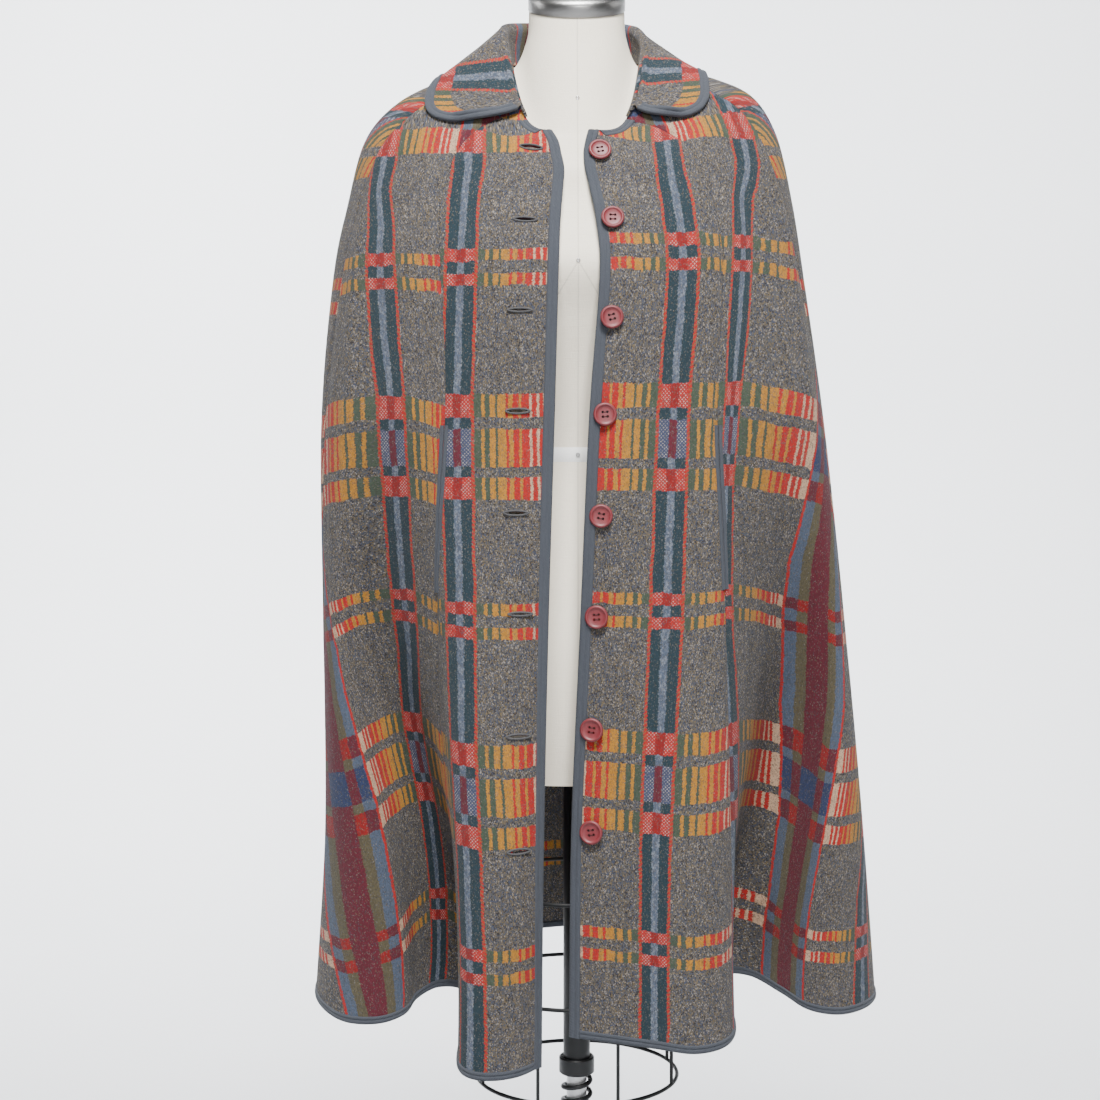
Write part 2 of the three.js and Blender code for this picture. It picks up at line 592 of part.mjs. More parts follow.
// Closed loft through rings of points, listed from the top down, with flat ends.
function loftGeometry(rings) {
  const count = rings[0].length;
  const points = rings.flat();
  const faces = [];
  for (let j = 0; j + 1 < rings.length; j++)
    for (let i = 0; i < count; i++) {
      const next = (i + 1) % count;
      const [a, b] = [j * count + i, j * count + next];
      const [c, d] = [b + count, a + count];
      faces.push(a, b, c, a, c, d);
    }
  for (const [ring, upward] of [[0, true], [rings.length - 1, false]]) {
    const middle = rings[ring].reduce((sum, p) => sum.add(p), new THREE.Vector3()).divideScalar(count);
    points.push(middle);
    const hub = points.length - 1;
    for (let i = 0; i < count; i++) {
      const [a, b] = [ring * count + i, ring * count + ((i + 1) % count)];
      if (upward) faces.push(hub, b, a);
      else faces.push(hub, a, b);
    }
  }
  const geometry = new THREE.BufferGeometry().setFromPoints(points);
  geometry.setIndex(faces);
  return geometry;
}

// Torso: neck, shoulders that carry the cape, and body
const FORM_COLUMNS = 36;
const formAngles = Array.from({ length: FORM_COLUMNS }, (_, i) => (360 * i) / FORM_COLUMNS);
const ovalPoint = (angle, { z, lean = 0, halfWidth, front, back }) => {
  const s = Math.sin(radians(angle));
  const c = Math.cos(radians(angle));
  const y = -(c > 0 ? front : back) * c;
  return new THREE.Vector3(-halfWidth * s, y, z + lean * y);
};
function bodyPoint(angle, row) {
  const s = Math.sin(radians(angle));
  const c = Math.cos(radians(angle));
  const size = (name) => column(BODY, name, row);
  const endZ = size(c > 0 ? "zFront" : "zBack");
  const z = endZ + (size("zSide") - endZ) * s * s;
  return ovalPoint(angle, { z, halfWidth: size("halfWidth"), front: size("front"), back: size("back") });
}
const BODY_ROWS = Array.from({ length: 13 }, (_, i) => (i * (BODY.length - 1)) / 12);
const torsoRings = [
  ...NECK.map((ring) => formAngles.map((angle) => ovalPoint(angle, ring))),
  ...YOKE_ROWS.map((row) => formAngles.map((angle) => onYoke(angle, row, -WALL - SEAT_GAP))),
  ...BODY_ROWS.map((row) => formAngles.map((angle) => bodyPoint(angle, row))),
];
addPiece(form, "form_torso", loftGeometry(torsoRings), LINEN);

// Turned piece from a profile of radius and height pairs.
function turned(profile, segments = 24) {
  const geometry = new THREE.LatheGeometry(profile.map(([x, y]) => new THREE.Vector2(x, y)), segments);
  return geometry.rotateX(Math.PI / 2);
}
const hollow = (outer, bore, bottom, top) => [
  [bore, bottom],
  [outer, bottom],
  [outer, top],
  [bore, top],
  [bore, bottom],
];

// Neck cap, which leans forward with the neck
const capProfile = [
  [0, SEAM_GAP],
  [CAP.radius - 1, SEAM_GAP],
  [CAP.radius, SEAM_GAP + 1],
  [CAP.radius, SEAM_GAP + CAP.skirt],
  [CAP.radius - 6, SEAM_GAP + CAP.skirt + 6],
  [CAP.radius * 0.6, SEAM_GAP + CAP.height - 5],
  [0, SEAM_GAP + CAP.height],
];
const capGeometry = turned(capProfile).rotateX(Math.atan(NECK_LEAN)).translate(0, 0, NECK_TOP);
addPiece(form, "neck_cap", capGeometry, STEEL);

// Wire cage under the torso
const wireSection = (radius, sides) =>
  new THREE.Shape(
    Array.from({ length: sides }, (_, i) => {
      const turn = (2 * Math.PI * i) / sides;
      return new THREE.Vector2(radius * Math.cos(turn), radius * Math.sin(turn));
    }),
  );
const cageAt = (angle, z) =>
  new THREE.Vector3(CAGE.halfWidth * Math.cos(angle), CAGE.halfDepth * Math.sin(angle), z);
function cageGeometry() {
  const hoopCount = 28;
  const sides = 5;
  const hoops = CAGE_RINGS.map((z) => {
    const rings = Array.from({ length: hoopCount }, (_, i) => {
      const angle = (2 * Math.PI * i) / hoopCount;
      const centre = cageAt(angle, z);
      const out = new THREE.Vector3(Math.cos(angle), Math.sin(angle), 0);
      return Array.from({ length: sides }, (_, n) => {
        const turn = (2 * Math.PI * n) / sides;
        return centre
          .clone()
          .addScaledVector(out, CAGE.wire * Math.cos(turn))
          .add(new THREE.Vector3(0, 0, CAGE.wire * Math.sin(turn)));
      });
    });
    const faces = [];
    const at = (i, n) => (i % hoopCount) * sides + (n % sides);
    for (let i = 0; i < hoopCount; i++)
      for (let n = 0; n < sides; n++) {
        const [a, b, c, d] = [at(i, n), at(i + 1, n), at(i + 1, n + 1), at(i, n + 1)];
        faces.push(a, b, c, a, c, d);
      }
    const geometry = new THREE.BufferGeometry().setFromPoints(rings.flat());
    geometry.setIndex(faces);
    return geometry;
  });
  const bottom = Math.min(...CAGE_RINGS);
  const uprights = Array.from({ length: CAGE.uprights }, (_, i) => {
    const angle = (2 * Math.PI * (i + 0.5)) / CAGE.uprights;
    const path = new THREE.LineCurve3(cageAt(angle, bottom), cageAt(angle, CAGE.top));
    const settings = { extrudePath: path, steps: 1, bevelEnabled: false };
    return new THREE.ExtrudeGeometry(wireSection(CAGE.wire, sides), settings);
  });
  return geometryOf([...hoops, ...uprights].map(solidOf).reduce((sum, wire) => sum.add(wire)));
}
addPiece(form, "cage", cageGeometry(), BLACK);

// Pole with its flange, which rests on the spring
addPiece(form, "pole", turned(hollow(POLE.outer, POLE.bore, POLE.bottom, POLE.top), 20), BLACK);
const flangeBore = POLE.outer + SEAM_GAP;
const flangeProfile = hollow(FLANGE.radius, flangeBore, FLANGE.bottom, FLANGE.bottom + FLANGE.height);
addPiece(form, "flange", turned(flangeProfile, 24), BLACK);

// Stand: base plate with hub, inner tube, spring seat and spring
const hubTop = BASE.thick + BASE.hubHeight;
const baseProfile = [
  [0, 0],
  [BASE.radius, 0],
  [BASE.radius, BASE.thick - BASE.edge],
  [BASE.radius - BASE.edge, BASE.thick],
  [BASE.hubRadius + 12, BASE.thick],
  [BASE.hubRadius, BASE.thick + 12],
  [BASE.hubRadius - 8, hubTop],
  [0, hubTop],
];
addPiece(stand, "base", turned(baseProfile, 36), BLACK);
const tubeProfile = [
  [0, hubTop + SEAM_GAP],
  [TUBE.radius, hubTop + SEAM_GAP],
  [TUBE.radius, TUBE.top],
  [0, TUBE.top],
];
addPiece(stand, "inner_tube", turned(tubeProfile, 20), WHITE_STEEL);
const seatTop = SPRING.bottom - SPRING.wire - SEAM_GAP;
const seatProfile = hollow(SEAT.radius, TUBE.radius + SEAM_GAP, seatTop - SEAT.height, seatTop);
addPiece(stand, "spring_seat", turned(seatProfile, 24), BLACK);

class Helix extends THREE.Curve {
  constructor(radius, bottom, top, pitch) {
    super();
    Object.assign(this, { radius, bottom, top, turns: (top - bottom) / pitch });
  }
  getPoint(t, target = new THREE.Vector3()) {
    const turn = 2 * Math.PI * this.turns * t;
    const z = this.bottom + (this.top - this.bottom) * t;
    return target.set(this.radius * Math.cos(turn), this.radius * Math.sin(turn), z);
  }
}
const springTop = FLANGE.bottom - SPRING.wire - SEAM_GAP;
const springPath = new Helix(SPRING.radius, SPRING.bottom, springTop, SPRING.pitch);
const springSteps = Math.round(springPath.turns * 9);
const springSettings = { extrudePath: springPath, steps: springSteps, bevelEnabled: false };
addPiece(stand, "spring", new THREE.ExtrudeGeometry(wireSection(SPRING.wire, 5), springSettings), BLACK);

const part = new THREE.Group();
part.add(cape, form, stand);
export default part;
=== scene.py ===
"""Looks of a wool cape coat on a limbless dress form: cloth, braid, buttons, form and stand.

Tables are in millimetres, and each mesh is made in metres. Left and right are the wearer's.
"""

import math

import bmesh
import bpy
import numpy as np
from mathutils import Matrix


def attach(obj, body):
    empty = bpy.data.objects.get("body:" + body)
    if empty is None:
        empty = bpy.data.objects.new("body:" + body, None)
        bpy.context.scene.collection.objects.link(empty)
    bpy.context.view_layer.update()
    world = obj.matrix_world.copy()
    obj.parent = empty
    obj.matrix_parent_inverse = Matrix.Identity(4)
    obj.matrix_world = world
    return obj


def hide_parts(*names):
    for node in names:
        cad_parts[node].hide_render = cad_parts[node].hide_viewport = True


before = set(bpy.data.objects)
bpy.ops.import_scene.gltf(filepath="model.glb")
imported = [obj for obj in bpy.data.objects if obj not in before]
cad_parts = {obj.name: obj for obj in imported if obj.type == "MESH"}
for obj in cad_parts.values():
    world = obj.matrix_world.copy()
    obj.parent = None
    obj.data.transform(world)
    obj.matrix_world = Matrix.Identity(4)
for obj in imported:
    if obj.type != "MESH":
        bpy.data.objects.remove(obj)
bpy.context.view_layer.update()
MM = 0.001


# Tables of the cape's form


def table_of(columns, rows):
    """Table with named columns, a row of numbers for each section."""
    return dict(zip(columns.split(), np.array(rows, float).T))


# Rings of the cape from the neckline to the hem: heights and reach at the front, sides and back,
# the two front edges, the width of a front and the angle of the side seam.
RINGS = table_of(
    "z_front z_right z_left z_back right left front back rise edge_right edge_left front_width side_seam",
    [
        [1358, 1436, 1438, 1446, 68, 66, 78, 66, 3, -26, 11, 50, 82],
        [1347, 1427, 1431, 1438, 105, 103, 82, 78, 2.2, -20, 8, 76, 76],
        [1334, 1416, 1421, 1424, 150, 147, 87, 91, 1.6, -17, 6, 96, 70],
        [1318, 1392, 1401, 1400, 193, 186, 94, 104, 1.2, -14, 7, 111, 65],
        [1300, 1354, 1358, 1362, 223, 211, 101, 115, 1, -15, 11, 118, 65],
        [1262, 1288, 1290, 1296, 240, 227, 117, 124, 1, -18, 18, 124, 69],
        [1205, 1212, 1212, 1216, 254, 239, 131, 131, 1, -20, 21, 123, 74],
        [1060, 1060, 1060, 1060, 266, 260, 142, 150, 1, -24, 10, 120, 82],
        [850, 850, 850, 850, 265, 282, 153, 208, 1, -29.5, 1, 143, 88],
        [640, 640, 640, 640, 267, 303, 166, 262, 1, -34, -7.5, 172, 92],
        [440, 440, 440, 440, 279, 318, 178, 300, 1, -36, -9.6, 205, 95],
    ],
)
HEM_ROW = 10

# Folds round the cape, from the right front edge over the back to the left front edge: angle on the
# rings, the place and height of the hem there, and the height where the fold starts.
FOLDS = table_of(
    "angle x y z start",
    [
        [-3, -12, -146, 444, 1080],
        [5, -36, -166, 443, 1080],
        [11, -58, -188, 441, 1080],
        [18, -84, -199, 441, 1080],
        [24, -107, -192, 442, 1080],
        [29.5, -117, -168, 446, 1080],
        [33.5, -115, -112, 453, 1080],
        [39, -110, -48, 461, 1080],
        [46, -120, -4, 467, 1080],
        [54, -146, 4, 467, 1080],
        [61, -167, -12, 460, 1080],
        [67, -178, -38, 452, 1060],
        [73, -204, -52, 447, 1060],
        [80, -240, -42, 446, 1060],
        [88, -268, -2, 449, 1060],
        [97, -279, 48, 452, 1060],
        [106, -268, 100, 452, 1060],
        [115, -236, 138, 455, 1060],
        [123, -214, 178, 455, 1060],
        [131, -222, 226, 452, 1060],
        [140, -190, 268, 450, 1060],
        [149, -146, 284, 450, 1060],
        [158, -104, 266, 452, 1060],
        [168, -58, 288, 450, 1060],
        [180, 0, 306, 450, 1060],
        [193, 60, 300, 450, 1060],
        [203, 108, 272, 452, 1060],
        [212, 154, 292, 450, 1060],
        [221, 206, 274, 450, 1060],
        [230, 242, 228, 452, 1060],
        [238, 238, 178, 455, 1060],
        [246, 258, 132, 454, 1060],
        [255, 296, 92, 454, 1060],
        [264, 318, 38, 453, 1060],
        [273, 305, -12, 453, 1060],
        [281, 273, -38, 452, 1060],
        [288, 240, -30, 454, 1080],
        [295, 216, 2, 461, 1080],
        [302, 188, 34, 469, 1080],
        [309, 161, 34, 472, 1080],
        [315, 150, -4, 472, 1080],
        [321, 151, -66, 471, 1080],
        [327.5, 153, -138, 469, 1080],
        [333, 140, -172, 464, 1080],
        [340, 110, -186, 462, 1080],
        [347, 72, -183, 466, 1080],
        [353, 34, -173, 468, 1080],
        [359, -9.6, -160, 470, 1080],
        [366, -32, -142, 472, 1080],
    ],
)
LAST_FOLD = 48

# Soft creases in the cloth: station and row of the upper end and of the lower end, half width in
# stations, and how far the cloth stands out (or in, below zero).
CREASES = [
    [1.2, 4.2, 1.4, 8.6, 0.55, -2.4],
    [2.1, 5.0, 2.3, 9.4, 0.5, 2.2],
    [3.6, 4.6, 3.4, 8.2, 0.45, -1.8],
    [5.2, 3.4, 5.0, 7.4, 0.6, -3.2],
    [6.4, 3.2, 7.6, 7.6, 0.7, 2.6],
    [8.4, 3.0, 9.2, 7.4, 0.7, -3.0],
    [10.6, 3.4, 10.2, 8.0, 0.6, 2.4],
    [12.4, 4.0, 12.9, 9.6, 0.5, -2.2],
    [14.5, 4.4, 14.2, 9.8, 0.5, 2.4],
    [17.0, 3.6, 16.6, 8.6, 0.6, -2.8],
    [19.4, 3.2, 19.8, 8.8, 0.6, 2.6],
    [21.8, 3.4, 21.6, 9.2, 0.5, -2.2],
    [24.0, 2.8, 24.2, 8.0, 0.6, -2.4],
    [26.5, 3.2, 26.2, 9.0, 0.5, 2.4],
    [29.0, 3.4, 29.4, 8.8, 0.6, -2.6],
    [31.5, 3.6, 31.2, 9.0, 0.5, 2.2],
    [34.2, 4.0, 34.6, 9.6, 0.5, -2.4],
    [37.0, 3.2, 36.4, 8.2, 0.6, 2.8],
    [39.6, 3.0, 38.8, 7.6, 0.6, -3.0],
    [41.8, 3.4, 42.4, 7.8, 0.6, 2.6],
    [43.6, 3.6, 43.2, 8.4, 0.45, -2.4],
    [45.4, 4.2, 45.2, 9.2, 0.5, 2.0],
    [46.6, 4.6, 46.3, 9.0, 0.4, -2.2],
]


# The cape's surface


def smooth(values, at):
    """Smooth value of a column of numbers at fractional rows."""
    last = len(values) - 1
    padded = np.concatenate(
        [[2 * values[0] - values[1]], values, [2 * values[last] - values[last - 1]]]
    )
    at = np.asarray(at, float)
    i = np.clip(np.floor(at).astype(int), 0, last - 1)
    a, b, c, d = padded[i], padded[i + 1], padded[i + 2], padded[i + 3]
    f = at - i
    return b + 0.5 * f * (c - a + f * (2 * a - 5 * b + 4 * c - d + f * (3 * (b - c) + d - a)))


def ease(value):
    value = np.clip(value, 0, 1)
    return value * value * (3 - 2 * value)


def ring_point(angle, row):
    """Point of a plain ring of the cape at an angle from the front, before any fold."""
    angle, row = np.broadcast_arrays(np.asarray(angle, float), np.asarray(row, float))
    s, c = np.sin(np.radians(angle)), np.cos(np.radians(angle))
    at = {name: smooth(RINGS[name], row) for name in list(RINGS)[:9]}
    side_z = np.where(s > 0, at["z_right"], at["z_left"])
    end_z = np.where(c > 0, at["z_front"], at["z_back"])
    reach = np.where(s > 0, at["right"], at["left"])
    depth = np.where(c > 0, at["front"], at["back"])
    rise = (s * s) ** np.maximum(at["rise"], 1)
    return np.stack([-reach * s, -depth * c, end_z + (side_z - end_z) * rise], -1)


def cape_point(station, row):
    """Point of the folded cape at fractional fold stations and ring rows."""
    station, row = np.broadcast_arrays(np.asarray(station, float), np.asarray(row, float))
    at = {name: smooth(FOLDS[name], station) for name in FOLDS}
    point = ring_point(at["angle"], row)
    hem = ring_point(at["angle"], HEM_ROW)
    depth = ease((at["start"] - point[..., 2]) / (at["start"] - hem[..., 2]))
    point[..., 0] += (at["x"] - hem[..., 0]) * depth**2.2
    point[..., 1] += (at["y"] - hem[..., 1]) * depth**0.7
    point[..., 2] += (at["z"] - hem[..., 2]) * depth
    return point


def unit(vectors):
    return vectors / np.maximum(np.linalg.norm(vectors, axis=-1, keepdims=True), 1e-9)


def directions(surface, u, v, step=0.02):
    """Unit vectors along, down and out of a surface of two parameters."""
    along = unit(surface(u + step, v) - surface(u - step, v))
    down = unit(surface(u, v + step) - surface(u, v - step))
    return along, down, unit(np.cross(along, down))


def crease_lift(station, row):
    """How far the cloth stands out of its plain form."""
    lift = np.zeros(np.broadcast(station, row).shape)
    for top, row_top, bottom, row_bottom, width, height in CREASES:
        part = np.clip((row - row_top) / (row_bottom - row_top), 0, 1)
        middle = top + (bottom - top) * part
        window = np.sin(np.pi * part) ** 0.8
        lift += height * window * np.exp(-(((station - middle) / width) ** 2))
    return lift


def cloth_point(station, row):
    """Point of the cape with its soft creases."""
    out = directions(cape_point, station, row)[2]
    return cape_point(station, row) + out * crease_lift(station, row)[..., None]


def station_at(station, row, distance, steps=80):
    """Station that lies a distance along the cape from another station on the same row."""
    at = np.asarray(station, float) + 0 * np.asarray(row)
    for _ in range(steps):
        reach = cape_point(at + 0.02, row) - cape_point(at - 0.02, row)
        at = at + distance / steps * 0.04 / np.linalg.norm(reach, axis=-1)
    return at


def search(low, high, is_before):
    """Place between low and high where a test turns from true to false."""
    low, high = np.asarray(low, float), np.asarray(high, float)
    for _ in range(40):
        middle = (low + high) / 2
        before = is_before(middle)
        low, high = np.where(before, middle, low), np.where(before, high, middle)
    return (low + high) / 2


def station_of_x(x, row, low, high):
    zero = 0 * np.asarray(row, float)
    return search(low + zero, high + zero, lambda k: cape_point(k, row)[..., 0] > x)


def station_of_angle(angle):
    zero = 0 * np.asarray(angle, float)
    return search(zero, LAST_FOLD + zero, lambda k: smooth(FOLDS["angle"], k) < angle)


def row_of_z(station, z):
    zero = 0 * np.asarray(z, float)
    return search(zero, HEM_ROW + zero, lambda row: cape_point(station, row)[..., 2] > z)


def right_edge(row):
    return station_of_x(smooth(RINGS["edge_right"], row), row, 0, 4)


def left_edge(row):
    return station_of_x(smooth(RINGS["edge_left"], row), row, LAST_FOLD - 3, LAST_FOLD)


# Change of each front's width from the solids, by row of rings
SEAM_ROWS = [0, 5, 6, 7, 7.5, 8, 9, 10]
RIGHT_SEAM_SHIFT = [0, 0, -3, -9, -13, -14, -8, 0]
LEFT_SEAM_SHIFT = [0, 0, 4, 10, 11, 9, 4, 0]


def right_seam(row):
    width = smooth(RINGS["front_width"], row) + np.interp(row, SEAM_ROWS, RIGHT_SEAM_SHIFT)
    return station_at(right_edge(row), row, width)


def left_seam(row):
    width = smooth(RINGS["front_width"], row) + np.interp(row, SEAM_ROWS, LEFT_SEAM_SHIFT)
    return station_at(left_edge(row), row, -width)


def right_side(row):
    return station_of_angle(smooth(RINGS["side_seam"], row))


def left_side(row):
    return station_of_angle(360 - smooth(RINGS["side_seam"], row))


def shifted(line, distance):
    return lambda row: station_at(line(row), row, distance, 12)


# Meshes


def grid_faces(rows, columns, first=0, closed=False):
    """Quads of a grid of vertices, rows down and columns along."""
    j, i = np.mgrid[0 : rows - 1, 0 : columns if closed else columns - 1]
    after = (i + 1) % columns
    quads = [j * columns + i, (j + 1) * columns + i, (j + 1) * columns + after, j * columns + after]
    return np.stack(quads, -1).reshape(-1, 4) + first


def add_piece(name, points, faces, finish, body, uv=None, crisp=40):
    """Mesh object from points in millimetres. Its edges stay crisp above an angle in degrees."""
    mesh = bpy.data.meshes.new(name)
    corners = [list(map(int, face)) for face in faces]
    mesh.from_pydata((np.asarray(points, float) * MM).tolist(), [], corners)
    if uv is not None:
        layer = mesh.uv_layers.new(name="cloth")
        owners = np.empty(len(mesh.loops), int)
        mesh.loops.foreach_get("vertex_index", owners)
        layer.data.foreach_set("uv", (np.asarray(uv, float) * MM)[owners].ravel())
    mesh.polygons.foreach_set("use_smooth", [True] * len(mesh.polygons))
    mesh.set_sharp_from_angle(angle=math.radians(crisp))
    mesh.update()
    piece = bpy.data.objects.new(name, mesh)
    bpy.context.scene.collection.objects.link(piece)
    mesh.materials.append(finish)
    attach(piece, body)
    return piece


def shell(outer, inner, uv=None):
    """Points, quads and uv of a closed shell between two grids of points."""
    rows, columns = outer.shape[:2]
    count = rows * columns
    top = grid_faces(rows, columns)
    under = top[:, ::-1] + count
    index = np.arange(count).reshape(rows, columns)
    rims = []
    for line in [index[0], index[:, -1], index[-1, ::-1], index[::-1, 0]]:
        rims.append(np.stack([line[:-1], line[1:], line[1:] + count, line[:-1] + count], -1))
    points = np.concatenate([outer.reshape(-1, 3), inner.reshape(-1, 3)])
    faces = np.concatenate([top, under, *rims])
    return points, faces, None if uv is None else np.concatenate([uv.reshape(-1, 2)] * 2)


def sweep(places, across, out, profile, closed=False):
    """Points, faces and uv of a profile (across, out) swept along places."""
    profile = np.asarray(profile, float)
    rings = (
        places[:, None]
        + across[:, None] * profile[None, :, :1]
        + out[:, None] * profile[None, :, 1:]
    )
    count, sides = rings.shape[:2]
    length = np.concatenate([[0], np.cumsum(np.linalg.norm(np.diff(places, axis=0), axis=1))])
    turn = np.concatenate([[0], np.cumsum(np.linalg.norm(np.diff(profile, axis=0), axis=1))])
    uv = np.stack(np.broadcast_arrays(length[:, None], turn[None]), -1).reshape(-1, 2)
    j, i = np.mgrid[0 : count if closed else count - 1, 0:sides]
    after, below = (i + 1) % sides, (j + 1) % count
    quads = np.stack([j * sides + i, j * sides + after, below * sides + after, below * sides + i], -1)
    faces = [list(face) for face in quads.reshape(-1, 4)]
    if not closed:
        faces += [list(range(sides))[::-1], [(count - 1) * sides + i for i in range(sides)]]
    return rings.reshape(-1, 3), faces, uv


def round_profile(radius, sides=12):
    turn = 2 * np.pi * np.arange(sides) / sides
    return np.stack([radius * np.cos(turn), radius * np.sin(turn)], -1)


def tube(places, radius, sides=12, closed=False):
    """Round wire or thread along a line of places."""
    places = np.asarray(places, float)
    if closed:
        way = unit(np.roll(places, -1, 0) - np.roll(places, 1, 0))
    else:
        way = unit(np.gradient(places, axis=0))
    side = unit(np.cross(way, np.where(np.abs(way[:, 2:]) > 0.9, [1.0, 0, 0], [0, 0, 1.0])))
    for i in range(1, len(side)):
        side[i] = unit(side[i - 1] - way[i] * np.dot(side[i - 1], way[i]))
    return sweep(places, side, np.cross(side, way), round_profile(radius, sides), closed)


def turned(profile, segments=72):
    """Points and faces of a turned piece from (radius, height) pairs, ends on the axis or joined."""
    profile = np.asarray(profile, float)
    turn = 2 * np.pi * np.arange(segments) / segments
    rings = np.stack(
        [
            profile[:, :1] * np.cos(turn),
            profile[:, :1] * np.sin(turn),
            np.broadcast_to(profile[:, 1:], (len(profile), segments)),
        ],
        -1,
    )
    faces = [list(f[::-1]) for f in grid_faces(len(profile), segments, closed=True)]
    if profile[0, 0] < 1e-6:
        return weld(rings.reshape(-1, 3), faces)
    last = (len(profile) - 1) * segments
    faces += [
        [last + i, last + (i + 1) % segments, (i + 1) % segments, i][::-1] for i in range(segments)
    ]
    return rings.reshape(-1, 3), faces


def weld(points, faces):
    """Same mesh with coincident points joined and empty faces dropped."""
    keys, owner = np.unique(np.round(points, 4), axis=0, return_inverse=True)
    owner = owner.ravel()
    joined = []
    for face in faces:
        ring = []
        for corner in face:
            if owner[corner] not in ring:
                ring.append(owner[corner])
        if len(ring) > 2:
            joined.append(ring)
    return keys, joined


def together(*meshes):
    """Several (points, faces, uv) meshes as one."""
    points, faces, uvs, first = [], [], [], 0
    for part in meshes:
        points.append(part[0])
        faces += [[int(i) + first for i in face] for face in part[1]]
        uvs.append(part[2] if len(part) > 2 and part[2] is not None else np.zeros((len(part[0]), 2)))
        first += len(part[0])
    return np.concatenate(points), faces, np.concatenate(uvs)


# Finishes


class Wire:
    """A node's output with arithmetic: each operator adds a Math node."""

    def __init__(self, finish, socket):
        self.finish = finish
        self.socket = socket

    def math(self, operation, *values):
        return self.finish.math(operation, self, *values)

    def __add__(self, other):
        return self.math("ADD", other)

    def __radd__(self, other):
        return self.finish.math("ADD", other, self)

    def __sub__(self, other):
        return self.math("SUBTRACT", other)

    def __rsub__(self, other):
        return self.finish.math("SUBTRACT", other, self)

    def __mul__(self, other):
        return self.math("MULTIPLY", other)

    def __rmul__(self, other):
        return self.finish.math("MULTIPLY", other, self)

    def __truediv__(self, other):
        return self.math("DIVIDE", other)

    def __lt__(self, other):
        return self.math("LESS_THAN", other)

    def __gt__(self, other):
        return self.math("GREATER_THAN", other)


def srgb(red, green, blue):
    """Linear colour of a colour given in display values from 0 to 255."""
    shares = [value / 255 for value in (red, green, blue)]
    lit = [s / 12.92 if s < 0.04045 else ((s + 0.055) / 1.055) ** 2.4 for s in shares]
    return (*lit, 1)


class Finish:
    """A material's nodes, made with short calls."""

    def __init__(self, name, **constants):
        self.material = bpy.data.materials.new(name)
        self.material.use_nodes = True
        self.tree = self.material.node_tree
        self.shader = next(n for n in self.tree.nodes if n.type == "BSDF_PRINCIPLED")
        for socket, value in constants.items():
            self.shader.inputs[socket.replace("_", " ").title()].default_value = value

    def node(self, kind, settings=None, inputs=None, output=0):
        node = self.tree.nodes.new("ShaderNode" + kind)
        for name, value in (settings or {}).items():
            setattr(node, name, value)
        for socket, value in (inputs or {}).items():
            self.feed(node.inputs[socket], value)
        return Wire(self, node.outputs[output])

    def feed(self, socket, value):
        if isinstance(value, Wire):
            self.tree.links.new(value.socket, socket)
        else:
            socket.default_value = value

    def math(self, operation, *values):
        return self.node("Math", {"operation": operation}, dict(enumerate(values)))

    def mix(self, factor, first, second, mode="MIX"):
        settings = {"data_type": "RGBA", "blend_type": mode}
        return self.node("Mix", settings, {0: factor, 6: first, 7: second}, 2)

    def point(self, x, y, z=0.0):
        return self.node("CombineXYZ", None, {0: x, 1: y, 2: z})

    def noise(self, place, scale, detail=2.0, roughness=0.5):
        inputs = {"Vector": place, "Scale": scale, "Detail": detail, "Roughness": roughness}
        return self.node("TexNoise", None, inputs)

    def bands(self, at, reach, colours):
        """Colour by distance: (upper limit, colour) pairs up to a full reach."""
        ramp = self.node("ValToRGB", None, {0: at / reach})
        stops = ramp.socket.node.color_ramp
        stops.interpolation = "CONSTANT"
        lower = 0.0
        for i, (limit, colour) in enumerate(colours):
            stop = stops.elements[0] if i == 0 else stops.elements.new(lower / reach)
            stop.position = lower / reach
            stop.color = colour
            lower = limit
        stops.elements.remove(stops.elements[-1])
        return ramp

    def threads(self, across, along, wide, tall, shift=0.0):
        """A number from 0 to 1 for each stub of thread, which has a width and a height."""
        place = self.point(across / wide + shift, along / tall)
        settings = {"voronoi_dimensions": "2D"}
        cells = self.node("TexVoronoi", settings, {"Vector": place, "Scale": 1.0}, 1)
        return self.node("SeparateColor", None, {0: cells})

    def fleck(self, place, scale, level):
        """Share of scattered fibres that pass a level of noise."""
        rise = (self.noise(place, scale, 4.0, 0.72) - level) * 5.0
        return rise.math("MAXIMUM", 0.0).math("MINIMUM", 1.0)

    def between(self, value, low, high):
        return (value > low) * (value < high)

    def surface(self, socket, value):
        self.feed(self.shader.inputs[socket], value)

    def bump(self, height, distance, strength=1.0):
        inputs = {"Height": height, "Distance": distance, "Strength": strength}
        self.surface("Normal", self.node("Bump", None, inputs))


GROUND = srgb(84, 76, 74)
TEAL = srgb(20, 45, 55)
LIGHT_BLUE = srgb(74, 86, 106)
RED = srgb(174, 22, 13)
DEEP_RED = srgb(138, 9, 7)
YELLOW = srgb(177, 121, 34)
GREEN = srgb(60, 73, 56)
CREAM = srgb(196, 162, 132)
BURGUNDY = srgb(92, 14, 34)
NAVY = srgb(36, 49, 86)
OLIVE = srgb(84, 77, 55)
SLATE_BLUE = srgb(56, 64, 94)
WHITE_FLECK = srgb(190, 182, 176)

# Shares of the fibres spun into the ground's heather yarn
HEATHER = [
    (0.14, srgb(42, 38, 38)),
    (0.33, srgb(60, 67, 86)),
    (0.56, srgb(84, 78, 71)),
    (0.76, srgb(80, 79, 80)),
    (0.91, srgb(110, 95, 68)),
    (1.0, srgb(138, 131, 124)),
]

